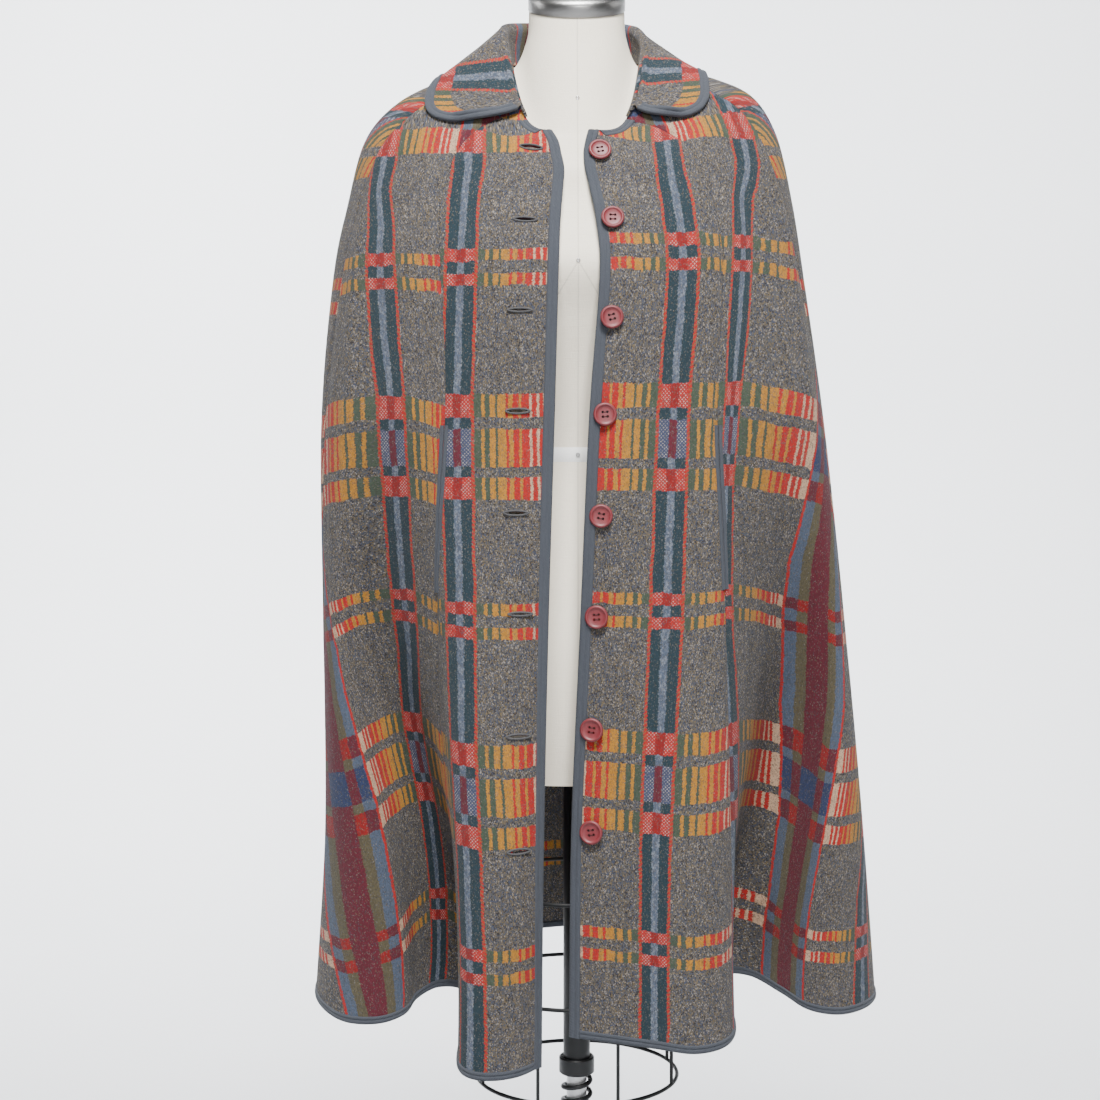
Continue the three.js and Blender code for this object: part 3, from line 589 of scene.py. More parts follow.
LADDER = [
    (24.9, GREEN),
    (28.0, YELLOW),
    (33.3, GREEN),
    (38.8, YELLOW),
    (41.8, GREEN),
    (50.0, YELLOW),
    (52.4, RED),
    (57.5, YELLOW),
    (63.0, RED),
    (65.6, YELLOW),
    (73.2, RED),
    (75.6, CREAM),
    (80.4, RED),
    (83.0, CREAM),
    (86.6, RED),
    (95.5, CREAM),
]
WARP = 134.0
WEFT = 170.0


def plaid_wool():
    """Blanket plaid: a mirrored repeat of warp stripes A and B, crossed by rows of bars."""
    wool = Finish("plaid wool", roughness=0.95, sheen_weight=0.02, sheen_roughness=0.5)
    place = wool.node("UVMap", {"uv_map": "cloth"})
    parts = wool.node("SeparateXYZ", None, {0: place})
    across = Wire(wool, parts.socket.node.outputs[0]) * 1000
    along = Wire(wool, parts.socket.node.outputs[1]) * 1000

    # Each thread pulls the colours a little aside, and they drift a little over the cloth
    ragged = (wool.noise(wool.point(across, along, 2.0), 0.5, 2.0, 0.6) - 0.5) * 4.4
    drift = (wool.noise(wool.point(across, along, 11.0), 0.05, 1.0) - 0.5) * 2.6
    ragged_along = (wool.noise(wool.point(across, along, 29.0), 0.5, 2.0, 0.6) - 0.5) * 4.4
    drift_along = (wool.noise(wool.point(across, along, 47.0), 0.05, 1.0) - 0.5) * 5.0
    w = (across + ragged + drift).math("PINGPONG", WARP)
    t = (along + ragged_along + drift_along).math("PINGPONG", WEFT)
    ground_rows = wool.bands(
        w,
        WARP,
        [
            (3.2, LIGHT_BLUE),
            (14.6, TEAL),
            (17.6, RED),
            (95.5, GROUND),
            (98.5, RED),
            (110.5, LIGHT_BLUE),
            (121.5, OLIVE),
            (WARP, BURGUNDY),
        ],
    )
    short_bars = wool.bands(
        w,
        WARP,
        [(4.2, DEEP_RED), (17.5, RED), *LADDER]
        + [(98.5, RED), (110.5, BURGUNDY), (121.5, DEEP_RED), (WARP, BURGUNDY)],
    )
    tall_bars = wool.bands(
        w,
        WARP,
        [(4.0, BURGUNDY), (14.6, SLATE_BLUE), (17.5, RED), *LADDER]
        + [(98.5, RED), (110.5, NAVY), (121.5, BURGUNDY), (WARP, NAVY)],
    )
    is_tall = t < 18.2
    is_short = wool.between(t, 28.8, 50.8) + wool.between(t, 152.5, 164.0)
    is_bar = (is_tall + is_short).math("MINIMUM", 1.0)
    dye = wool.mix(is_short, wool.mix(is_tall, ground_rows, tall_bars), short_bars)

    # White threads that show in the twill of stripe A's bars, and the rope-like edge of each stripe
    lattice = ((across + along) / 3.6).math("FRACT") < 0.52
    dots = lattice * (((across - along) / 3.6).math("FRACT") < 0.52)
    worn = wool.fleck(wool.point(across, along, 3.0), 0.16, 0.38)
    dye = wool.mix(is_bar * wool.between(w, 4.6, 14.2) * dots * worn * 0.7, dye, WHITE_FLECK)
    rope = ((across * 0.7 + along) / 4.4).math("FRACT") < 0.38
    edge = wool.between(w, 14.6, 17.8) * rope
    dye = wool.mix(edge * 0.7, dye, srgb(128, 92, 54))
    rubbed = wool.fleck(wool.point(across, along * 0.6, 9.0), 0.5, 0.47)
    centre = (w < 4.2) * (1.0 - is_bar)
    dye = wool.mix(centre * rubbed * 0.75, dye, srgb(150, 156, 164))

    # Heather: dark, blue, grey and ochre fibres make the ground and show through the stripes
    cloud = wool.noise(wool.point(across, along * 0.3, 71.0), 0.22, 3.0, 0.6) - 0.5
    thread = wool.threads(across, along, 0.8, 1.25) + cloud * 0.38
    heather = wool.bands(thread, 1.0, HEATHER)
    is_ground = wool.between(w, 17.6, 95.5) * (1.0 - is_bar)
    through = (wool.threads(across, along, 0.8, 1.2, 40.0) < 0.2) * 0.55
    dye = wool.mix(is_ground.math("MAXIMUM", through), dye, heather)
    uneven = wool.threads(across, along, 0.9, 1.6, 90.0)
    dye = wool.mix(1.0, dye, wool.mix(uneven, srgb(212, 210, 208), srgb(255, 255, 255)), "MULTIPLY")
    nap = wool.noise(wool.point(across * 1.2, along * 0.14, 13.0), 0.8, 4.0, 0.7)
    dye = wool.mix(1.0, dye, wool.mix(nap, srgb(190, 190, 190), srgb(255, 255, 255)), "MULTIPLY")
    wool.surface("Base Color", dye)
    weave = wool.noise(wool.point(across, along * 0.5, 21.0), 1.3, 3.0, 0.7)
    wool.bump(weave + nap * 0.7 + uneven * 0.3, 0.0008, 0.7)
    return wool.material


def slate_braid():
    """Ribbed wool braid with a few pale fibres."""
    braid = Finish("slate braid", roughness=0.9, sheen_weight=0.05)
    place = braid.node("UVMap", {"uv_map": "cloth"})
    parts = braid.node("SeparateXYZ", None, {0: place})
    along = Wire(braid, parts.socket.node.outputs[0]) * 1000
    across = Wire(braid, parts.socket.node.outputs[1]) * 1000
    rib = ((along + across * 0.5) / 1.5).math("PINGPONG", 0.5) * 2
    cloud = braid.noise(braid.point(along * 0.4, across), 0.7, 4.0, 0.65)
    colour = braid.mix(cloud, srgb(42, 46, 54), srgb(67, 71, 79))
    braid.surface("Base Color", braid.mix(rib * 0.3, colour, srgb(34, 36, 40)))
    braid.bump(rib * 0.6 + cloud, 0.0006, 0.8)
    return braid.material


def plain(name, colour, dark, rough, scale=90.0, depth=0.0003, metal=0.0, **constants):
    """Even finish with a slight cloudiness and grain."""
    finish = Finish(name, metallic=metal, **constants)
    place = finish.node("TexCoord", None, None, 3)
    cloud = finish.noise(place, scale, 4.0, 0.6)
    finish.surface("Base Color", finish.mix(cloud, srgb(*dark), srgb(*colour)))
    finish.surface("Roughness", cloud * 0.18 + rough)
    finish.bump(cloud, depth, 0.5)
    return finish.material


def form_linen():
    """Ivory linen with fine threads both ways and faint seam lines down the front."""
    linen = Finish("form linen", roughness=0.88)
    place = linen.node("TexCoord", None, None, 3)
    parts = linen.node("SeparateXYZ", None, {0: place})
    x, z = (Wire(linen, parts.socket.node.outputs[i]) * 1000 for i in (0, 2))
    y = Wire(linen, parts.socket.node.outputs[1])
    warp = linen.noise(linen.point(x * 1.6, z * 0.1, y * 1000), 0.6, 3.0, 0.7)
    weft = linen.noise(linen.point(x * 0.1, z * 1.6, y * 1000), 0.6, 3.0, 0.7)
    colour = linen.mix(warp * 0.5 + weft * 0.5, srgb(230, 219, 199), srgb(251, 244, 227))
    front = y < 0.0
    centre = x.math("ABSOLUTE") < 0.7
    dart = ((1222 - z) * 0.62 - x.math("ABSOLUTE")).math("ABSOLUTE") < 0.9
    dart = dart * (z < 1221) * (z > 1130)
    line = ((centre + dart) * front).math("MINIMUM", 1.0)
    linen.surface("Base Color", linen.mix(line * 0.3, colour, srgb(160, 152, 140)))
    linen.bump(warp + weft - line * 1.6, 0.0005, 0.6)
    return linen.material


def cap_metal():
    """Brushed steel, brushed round the cap."""
    steel = Finish("cap metal", metallic=1.0)
    place = steel.node("TexCoord", None, None, 3)
    parts = steel.node("SeparateXYZ", None, {0: place})
    z = Wire(steel, parts.socket.node.outputs[2]) * 1000
    brushed = steel.noise(steel.point(z * 9.0, 0.0), 1.0, 3.0, 0.6)
    steel.surface("Base Color", steel.mix(brushed, srgb(128, 127, 126), srgb(176, 175, 173)))
    steel.surface("Roughness", brushed * 0.14 + 0.27)
    steel.bump(brushed, 0.0002, 0.4)
    return steel.material


def rose_button():
    """Dusty rose plastic with a slight marbling."""
    rose = Finish("rose button", roughness=0.52, coat_weight=0.04, coat_roughness=0.3)
    place = rose.node("TexCoord", None, None, 3)
    marble = rose.noise(place, 160.0, 3.0, 0.6)
    rose.surface("Base Color", rose.mix(marble, srgb(90, 25, 30), srgb(118, 42, 47)))
    return rose.material


WOOL = plaid_wool()
BRAID = slate_braid()
ROSE = rose_button()
LINEN = form_linen()
STEEL = cap_metal()
THREAD = plain("rose thread", (70, 24, 28), (40, 14, 16), 0.8, 900.0)
TAPE = plain("waist tape", (252, 252, 250), (240, 240, 237), 0.75, 500.0)
PIN = plain("pin metal", (205, 205, 205), (150, 150, 150), 0.25, 300.0, metal=1.0)
WIRE = plain("black wire", (34, 35, 37), (20, 21, 22), 0.4, 120.0, metal=0.3)
POLE_FINISH = plain("black pole", (30, 31, 33), (18, 19, 20), 0.35, 60.0, metal=0.2)
TUBE_FINISH = plain("tube metal", (226, 226, 226), (198, 199, 201), 0.3, 40.0, metal=0.6)
IRON = plain("black iron", (36, 36, 38), (20, 20, 22), 0.5, 45.0, 0.0008, metal=0.2)
LIP = plain("buttonhole stitching", (78, 77, 78), (46, 46, 48), 0.9, 800.0)


# Cape panels

ROWS = np.concatenate(
    [
        np.linspace(0, 3, 26)[:-1],
        np.linspace(3, 7, 46)[:-1],
        np.linspace(7, HEM_ROW - 0.036, 84),
    ]
)
BRAID_WIDTH = 11.0
UNDER_BRAID = 10.4
SEAM_GAP = 0.15
PANELS = {
    "front_right": (46, shifted(right_edge, UNDER_BRAID), shifted(right_seam, -SEAM_GAP)),
    "side_right": (74, shifted(right_seam, SEAM_GAP), shifted(right_side, -SEAM_GAP)),
    "back": (190, shifted(right_side, SEAM_GAP), shifted(left_side, -SEAM_GAP)),
    "side_left": (74, shifted(left_side, SEAM_GAP), shifted(left_seam, -SEAM_GAP)),
    "front_left": (46, shifted(left_seam, SEAM_GAP), shifted(left_edge, -UNDER_BRAID)),
}
CLOTH = 2.8
SEAM_DIP = 1.3
SEAM_DIP_WIDTH = 3.0
HALF_A = 17.5

# Where stripes run down the side panels: a height, then the fold stations of the lines that lie
# 17.5 mm to the front and back of stripe A's centre, and of stripe B's front and back edges.
RIGHT_LINES = table_of(
    "z front_a back_a front_b back_b",
    [
        [440, 8.8, 9.5, 11.0, 12.2],
        [550, 8.5, 9.2, 11.0, 13.0],
        [670, 7.9, 8.7, 10.8, 13.6],
        [750, 7.5, 8.5, 11.1, 14.0],
        [830, 7.0, 8.1, 11.7, 14.7],
        [880, 6.9, 8.1, 12.9, 15.6],
        [1000, 7.0, 8.2, 14.2, 17.0],
        [1090, 7.2, 8.5, 14.5, 17.4],
        [1190, 7.8, 9.4, 14.6, 17.6],
        [1260, 8.4, 9.9, 14.7, 17.8],
        [1350, 9.8, 11.2, 14.9, 18.0],
    ],
)
LEFT_LINES = table_of(
    "z front_a back_a front_b back_b",
    [
        [440, 42.0, 41.0, 37.7, 36.2],
        [570, 42.4, 41.4, 37.6, 36.0],
        [650, 42.6, 41.5, 37.8, 35.8],
        [720, 42.7, 41.6, 38.3, 35.5],
        [770, 42.8, 41.7, 38.8, 35.1],
        [860, 42.7, 41.9, 39.2, 35.0],
        [920, 42.6, 41.8, 38.9, 34.7],
        [1000, 42.2, 41.6, 37.5, 33.6],
        [1090, 41.7, 41.0, 35.7, 32.0],
        [1160, 41.3, 40.2, 34.6, 31.0],
        [1290, 40.2, 38.7, 33.4, 29.8],
        [1350, 38.9, 37.2, 32.5, 29.0],
    ],
)
LINE_NAMES = ["front_a", "back_a", "front_b", "back_b"]
RIGHT_PLACES = [-HALF_A, HALF_A, 95.5, 146.5]
LEFT_PLACES = [-HALF_A, HALF_A, 95.5, 172.5]
STATION_WIDTH = 26.0

# Stripe A over the shoulder on each panel: flat width for a width seen from the front, then heights
# and the stripe's place from the centre there.
SHOULDER_STRIPES = {
    "front_right": (1.03, [1290, 1360], [110, 110]),
    "side_right": (1.3, [1260, 1340, 1400, 1440], [199, 197, 186, 178]),
    "front_left": (1.2, [1290, 1325, 1355], [96, 92, 89]),
    "side_left": (1.3, [1290, 1330, 1360, 1410], [171, 173, 167, 148]),
}

# Stripe A's distance from the right front edge: heights, then distances
FRONT_RIGHT_STRIPE = [[440, 545, 640, 735, 885, 1085], [81, 81, 83, 87, 90, 99]]
FRONT_LEFT_STRIPE = 84.0

# Heights of the rows of bars on the side panels, at stripe A and at stripe B
SIDE_ROWS = table_of(
    "v right_a right_b left_a left_b",
    [
        [0, 1036, 1015, 1049, 1024],
        [170, 877, 847, 887, 856],
        [340, 714, 683, 717, 679],
        [510, 555, 520, 567, 529],
    ],
)

# Height of the major row on each panel, flat length for a length above it, and flat length below it
MAJOR_ROWS = {
    "front_right": (1037.6, 0.946, 606.0),
    "side_right": (1036.0, 0.946, 606.0),
    "back": (1015.0, 0.946, 600.0),
    "side_left": (1049.0, 0.925, 606.0),
    "front_left": (1046.0, 0.905, 596.0),
}
A_TO_B = 116.5
ROW_STRETCH = 1.05
SHOULDER_FOOT = 1290
HEM_EASE = 0.07
HEM_EASE_START = 0.56

# Two heights in the row of bars over the shoulder, and the share of length kept above each
BAR_FOOT = -289.2
SHOULDER_BAR = -311.5
BAR_EASE = 0.66
TOP_EASE = 0.5


def lengths(points, axis):
    """Length along a grid's rows or columns from their first point."""
    steps = np.linalg.norm(np.diff(points, axis=axis), axis=-1)
    start = np.zeros_like(np.take(steps, [0], axis))
    return np.concatenate([start, np.cumsum(steps, axis)], axis)


def stripe_place(name, points, stations):
    """Distance of each place from the panel's stripe A, in flat cloth."""
    along = lengths(points, 1)
    x, z = points[..., 0], points[..., 2]
    if name == "back":
        return along - along[:, -1:] / 2
    if name == "front_right":
        u = along + UNDER_BRAID - np.interp(z, *FRONT_RIGHT_STRIPE)
    elif name == "front_left":
        u = along[:, -1:] - along + UNDER_BRAID - FRONT_LEFT_STRIPE
        narrow = 14 * np.interp(z, [560, 900], [0.8, 1.0]) + 3.5
        beside = u + np.sign(u) * (HALF_A - narrow)
        u = np.where(np.abs(u) < narrow, u * HALF_A / narrow, beside)
    elif name == "side_right":
        u = between_lines(z, stations, RIGHT_LINES, RIGHT_PLACES, 1)
    else:
        u = between_lines(z, stations, LEFT_LINES, LEFT_PLACES, -1)
    wide, heights, places = SHOULDER_STRIPES[name]
    from_stripe = (np.abs(x) - np.interp(z, heights, places)) * wide
    return u + (from_stripe - u) * ease((z - SHOULDER_FOOT) / 45)


def between_lines(z, stations, lines, places, sign):
    """Distance from stripe A between lines whose stations and distances are known."""
    at = [sign * np.interp(z, lines["z"], lines[line]) for line in LINE_NAMES]
    station = sign * stations
    u = places[0] + (station - at[0]) * STATION_WIDTH
    for i in range(3):
        share = (station - at[i]) / (at[i + 1] - at[i])
        u = np.where(share > 0, places[i] + share * (places[i + 1] - places[i]), u)
    return u


def rows_at(z, heights):
    """Distance below the major row at a height, from the heights of the rows of bars."""
    beyond = np.maximum(heights[-1] - z, 0) - np.maximum(z - heights[0], 0)
    return np.interp(-z, -heights, SIDE_ROWS["v"]) + beyond * ROW_STRETCH


def over_shoulder(v):
    """Rows over the shoulder, where the cloth is eased and the row of bars is taller."""
    v = np.where(v < BAR_FOOT, BAR_FOOT + (v - BAR_FOOT) * BAR_EASE, v)
    return np.where(v < SHOULDER_BAR, SHOULDER_BAR + (v - SHOULDER_BAR) * TOP_EASE, v)


def row_place(name, points, stations, u):
    """Distance of each place below the major row of bars, in flat cloth."""
    z = points[..., 2]
    major, above, below = MAJOR_ROWS[name]
    down = lengths(points, 0)
    level = [np.interp(-major, -z[:, i], down[:, i]) for i in range(z.shape[1])]
    upper = (down - np.array(level)) * above
    if name.startswith("side"):
        side = name[5:]
        share = np.clip((np.abs(u) - HALF_A) / A_TO_B, 0, 1.2)
        at_a, at_b = SIDE_ROWS[side + "_a"], SIDE_ROWS[side + "_b"]
        lower = rows_at(z, at_a) * (1 - share) + rows_at(z, at_b) * share
        zero = at_a[0] + (at_b[0] - at_a[0]) * share
        fade = np.clip((SHOULDER_FOOT - z) / 180, 0, 1)
        return np.where(z < zero, lower, over_shoulder(upper - (major - zero) * fade))
    if name.startswith("front"):
        upper = over_shoulder(upper)
    part = (major - z) / (major - smooth(FOLDS["z"], stations))
    lower = below * part * (1 + HEM_EASE * np.maximum(part - HEM_EASE_START, 0))
    return np.where(z < major, lower, upper)


def panel_piece(name):
    columns, start, end = PANELS[name]
    first, last = start(ROWS), end(ROWS)
    share = np.linspace(0, 1, columns + 1)
    stations = first[:, None] + (last - first)[:, None] * share
    rows = np.broadcast_to(ROWS[:, None], stations.shape)
    out = directions(cape_point, stations, rows)[2]
    points = cloth_point(stations, rows)
    u = stripe_place(name, points, stations)
    v = row_place(name, points, stations, u)
    from_start = lengths(points, 1)
    from_end = from_start[:, -1:] - from_start
    dip = np.zeros(u.shape)
    if not name.startswith("front_right"):
        dip += np.exp(-((from_start / SEAM_DIP_WIDTH) ** 2))
    if not name.startswith("front_left"):
        dip += np.exp(-((from_end / SEAM_DIP_WIDTH) ** 2))
    points = points - out * (SEAM_DIP * dip)[..., None]
    mesh = shell(points, points - out * CLOTH, np.stack([u, v], -1))
    return add_piece(name + "_cloth", mesh[0], mesh[1], WOOL, "dressed_form", mesh[2])


panels = {name: panel_piece(name) for name in PANELS}
for name, piece in panels.items():
    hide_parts(name)


# Braid

EDGE_PROFILE = [
    [11.0, -0.4], [10.7, 0.5], [9.6, 1.0], [8.0, 1.15], [6.6, 0.9], [6.0, 0.55], [5.4, 0.9],
    [3.6, 1.25], [1.6, 1.1], [0.3, 0.5], [-0.3, -0.5], [-0.4, -1.5], [-0.2, -2.6], [0.6, -3.5],
    [3.0, -3.8], [8.0, -3.8], [10.6, -3.5], [11.0, -2.6],
]  # fmt: skip


def scaled(profile, width):
    return [[a * width / BRAID_WIDTH, n] for a, n in profile]


def edge_braid(name, line, sign):
    rows = np.linspace(0, HEM_ROW, 240)
    along, down, out = directions(cape_point, line(rows), rows)
    places = cloth_point(line(rows), rows)
    profile = EDGE_PROFILE if sign > 0 else EDGE_PROFILE[::-1]
    mesh = sweep(places, along * sign, out, profile)
    return add_piece(name + "_braid", mesh[0], mesh[1], BRAID, "dressed_form", mesh[2], 70)


def hem_braid():
    low, high = shifted(right_edge, 11.3)(HEM_ROW), shifted(left_edge, -11.3)(HEM_ROW)
    stations = np.linspace(low, high, 900)
    along, down, out = directions(cape_point, stations, HEM_ROW)
    places = cape_point(stations, HEM_ROW)
    mesh = sweep(places, -down, out, scaled(EDGE_PROFILE, 8.0))
    return add_piece("hem_binding_braid", mesh[0], mesh[1], BRAID, "dressed_form", mesh[2], 70)


def neck_braid(name, low, high):
    stations = np.linspace(low, high, 40)
    along, down, out = directions(cape_point, stations, 0.02)
    places = cape_point(stations, 0.0)
    mesh = sweep(places, down, out, scaled(EDGE_PROFILE, 10.0)[::-1])
    return add_piece(name + "_braid", mesh[0], mesh[1], BRAID, "dressed_form", mesh[2], 70)


SLIT_PROFILE = [
    [4.4, -0.8], [4.3, 0.1], [3.6, 0.6], [2.4, 0.8], [1.2, 0.7], [0.5, 0.2], [0.25, -0.7], [0.4, -1.6],
    [4.0, -1.6],
]  # fmt: skip


def slit_braid(name, line, sign):
    rows = np.linspace(7, 7.8, 60)
    along, down, out = directions(cape_point, line(rows), rows)
    places = cloth_point(line(rows), rows)
    profile = SLIT_PROFILE if sign > 0 else SLIT_PROFILE[::-1]
    mesh = sweep(places, along * sign, out, profile)
    return add_piece(name + "_braid", mesh[0], mesh[1], BRAID, "dressed_form", mesh[2], 70)


# Collar

COLLAR = table_of(
    "angle fold_z reach leaf_row",
    [
        [50, 1386, 77, 2.5],
        [60, 1406, 76, 2.58],
        [72, 1431, 74, 2.3],
        [84, 1452, 73, 1.98],
        [100, 1470, 72, 1.82],
        [117, 1482, 72, 1.75],
        [144, 1491, 74, 1.95],
        [180, 1496, 76, 2.1],
    ],
)
COLLAR_START = 50.0

# Changes of the collar's leaves from the solids: degrees from the front, then amounts
RIGHT_LIFT = [[60, 72, 84, 100, 117, 144], [0, 8, 18, 10, 4, 0]]
LEFT_TRIM = [[50, 60, 72, 84, 117], [0.4, 0.45, 0.4, 0.25, 0]]
RIGHT_REACH = [[60, 72, 84, 100, 117, 144], [0, 3, 5, 6, 4, 0]]


def on_yoke(angle, row, lift):
    return ring_point(angle, row) + directions(ring_point, angle, row)[2] * lift


def curve_through(points, at):
    """Even curve through a list of point arrays, at shares from 0 to 1."""
    points = np.stack(points)
    ends = [2 * points[:1] - points[1:2], points, 2 * points[-1:] - points[-2:-1]]
    padded = np.concatenate(ends)
    spans = len(points) - 1
    lines = []
    for share in at:
        i = min(int(share * spans), spans - 1)
        f = share * spans - i
        a, b, c, d = padded[i : i + 4]
        gaps = [
            np.maximum(np.linalg.norm(q - p, axis=-1, keepdims=True) ** 0.5, 0.01)
            for p, q in [(a, b), (b, c), (c, d)]
        ]
        g0, g1, g2 = gaps
        start = g1 * ((b - a) / g0 - (c - a) / (g0 + g1) + (c - b) / g1)
        end = g1 * ((c - b) / g1 - (d - b) / (g1 + g2) + (d - c) / g2)
        bend = -3 * b + 3 * c - 2 * start - end
        lines.append(b + f * (start + f * (bend + f * (2 * b - 2 * c + start + end))))
    return np.stack(lines)


def collar_points(angles, parts):
    """Middle of the collar's cloth, from the stand's base over the fold to the leaf's edge."""
    from_front = np.minimum(angles, 360 - angles)
    row = np.interp(from_front, COLLAR["angle"], np.arange(len(COLLAR["angle"])))
    on_right = (angles < 180) * 1.0
    fold_z = smooth(COLLAR["fold_z"], row) + on_right * np.interp(from_front, *RIGHT_LIFT)
    reach = smooth(COLLAR["reach"], row) + on_right * np.interp(from_front, *RIGHT_REACH)
    corner = np.clip((from_front - COLLAR_START) / 7, 0, 1)
    rounded = np.sqrt(1 - (1 - corner) ** 2)
    leaf = smooth(COLLAR["leaf_row"], row) - 0.35 * (1 - rounded)
    leaf = leaf - (1 - on_right) * np.interp(from_front, *LEFT_TRIM)
    s, c = np.sin(np.radians(angles)), np.cos(np.radians(angles))

    def fold(out, drop):
        return np.stack([-(reach + out) * s, -(reach + out) * c, fold_z - drop], -1)

    base = on_yoke(angles, 0.0, 1.2)
    roll = np.minimum(4.5, (fold_z - base[:, 2]) * 0.3)
    away = directions(ring_point, angles, 0.0)[2]
    middle = (base + fold(-roll, roll)) / 2 + away * 3
    edge = on_yoke(angles, leaf, 2.3)
    halfway = (fold(roll, roll) + edge) / 2 - ring_point(angles, leaf * 0.5)
    upward = directions(ring_point, angles, leaf * 0.5)[2]
    puff = np.maximum((halfway * upward).sum(-1) + 3, 6.8)
    shoulder = ring_point(angles, leaf * 0.5) + upward * puff[:, None]
    line = [base, middle, fold(-roll, roll), fold(0, 0), fold(roll, roll), shoulder, edge]
    return curve_through(line, parts)


YOKE_ANGLES, YOKE_ROWS = np.meshgrid(np.arange(20, 341, 2.0), np.arange(0, 3.7, 0.1))
YOKE_POINTS = ring_point(YOKE_ANGLES, YOKE_ROWS).reshape(-1, 3)
YOKE_OUT = directions(ring_point, YOKE_ANGLES, YOKE_ROWS)[2].reshape(-1, 3)


def clear_of_yoke(points, clearance):
    """Points moved out of the shoulder's cloth where they would lie in it."""
    flat = points.reshape(-1, 3)
    moved = []
    for part in np.array_split(flat, max(1, len(flat) // 200)):
        near = ((part[:, None] - YOKE_POINTS) ** 2).sum(-1).argmin(1)
        height = ((part - YOKE_POINTS[near]) * YOKE_OUT[near]).sum(-1, keepdims=True)
        moved.append(part + YOKE_OUT[near] * np.maximum(clearance - height, 0))
    return np.concatenate(moved).reshape(points.shape)


share = np.linspace(0, 1, 169)
COLLAR_ANGLES = COLLAR_START + (360 - 2 * COLLAR_START) * (share - 0.1 * np.sin(2 * np.pi * share))
COLLAR_PARTS = np.linspace(0, 1, 49)


def collar_frame():
    middle = collar_points(COLLAR_ANGLES, COLLAR_PARTS)
    along = np.gradient(middle, axis=1)
    down = np.gradient(middle, axis=0)
    return middle, unit(along), unit(down), unit(np.cross(along, down))


def collar_piece():
    middle, along, down, out = collar_frame()
    outer = middle + out * 1.4
    inner = middle - out * 1.4
    on_leaf = COLLAR_PARTS > 0.6
    inner[on_leaf] = clear_of_yoke(inner[on_leaf], 0.9)
    edge_run = lengths(middle[-1:], 1)[0]
    stripe = np.interp(82.0, COLLAR_ANGLES, edge_run)
    from_front = np.minimum(edge_run, edge_run[-1] - edge_run)
    to_edge = lengths(middle[::-1], 0)[::-1]
    uv = np.stack([stripe - from_front - 0.4 * to_edge, 22.5 + to_edge], -1)
    mesh = shell(outer, inner, uv)
    return add_piece("collar_cloth", mesh[0], mesh[1], WOOL, "dressed_form", mesh[2])


def collar_braid():
    middle, along, down, out = collar_frame()
    ends = [i for i, part in enumerate(COLLAR_PARTS) if 0.62 < part < 1]
    last = len(COLLAR_ANGLES) - 1
    path = [(i, 0) for i in ends]
    path += [(len(COLLAR_PARTS) - 1, j) for j in range(last + 1)]
    path += [(i, last) for i in reversed(ends)]
    places = np.array([middle[i, j] for i, j in path])
    normals = np.array([out[i, j] for i, j in path])
    way = unit(np.gradient(places, axis=0))
    inward = unit(np.cross(normals, way))
    if np.dot(inward[len(path) // 2], down[-1, last // 2]) > 0:
        inward = -inward
    places = clear_of_yoke(places, 2.4)
    profile = [[a * 10 / BRAID_WIDTH, n + 1.5] for a, n in EDGE_PROFILE]
    mesh = sweep(places, inward, normals, profile)
    return add_piece("collar_binding_braid", mesh[0], mesh[1], BRAID, "dressed_form", mesh[2], 70)


collar = collar_piece()
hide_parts("collar")
COLLAR_FOOT = station_of_angle(COLLAR_START - 2)
COLLAR_HEAD = station_of_angle(362 - COLLAR_START)
braids = {
    "front_binding_right": edge_braid("front_binding_right", right_edge, 1),
    "front_binding_left": edge_braid("front_binding_left", left_edge, -1),
    "hem_binding": hem_braid(),
    "neck_binding_right": neck_braid(
        "neck_binding_right", float(shifted(right_edge, 10.5)(0.0)), float(COLLAR_FOOT)
    ),
    "neck_binding_left": neck_braid(
        "neck_binding_left", float(COLLAR_HEAD), float(shifted(left_edge, -10.5)(0.0))
    ),
    "slit_binding_right_front": slit_braid("slit_binding_right_front", right_seam, -1),
    "slit_binding_right_side": slit_braid("slit_binding_right_side", right_seam, 1),
    "slit_binding_left_front": slit_braid("slit_binding_left_front", left_seam, 1),
    "slit_binding_left_side": slit_braid("slit_binding_left_side", left_seam, -1),
    "collar_binding": collar_braid(),
}
for name, piece in braids.items():
    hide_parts(name)


# Buttons and buttonholes

BUTTONS = 8
BUTTON_LIFT = 1.2
BUTTON_TURNS = [8, -4, 14, 3, -10, 5, -6, 12]
HOLE_LENGTH = 22.0
HOLE_OPEN = [2.3, 1.3, 0.9, 1.5, 1.4, 0.8, 1.3, 1.5]
HOLE_POINTS = 28
LIP_REACH = 0.9

# Heights of buttons and buttonholes, each with its distance in from the front edge
FASTENINGS = table_of(
    "button button_in hole hole_in",
    [
        [1335, 16, 1338, 24],
        [1264, 16, 1263, 29],
        [1166, 14, 1173, 31],
        [1071, 15, 1074, 30],
        [972, 16, 975, 29],
        [874, 16, 878, 23],
        [765, 17, 762, 24],
        [667, 21, 654, 24],
    ],
)


def frame_on(line, z, distance):
    """Place on the cape and the directions along (to +X), up and out there."""
    row = row_of_z(line(7.0), z)
    station = station_at(line(row), row, distance)
    along, down, out = directions(cape_point, station, row)
    up = unit(np.cross(out, -along))
    return cloth_point(station, row), np.cross(up, out), up, out


def placed(points, place, along, up, out):
    return place + points[:, :1] * along + points[:, 1:2] * up + points[:, 2:] * out


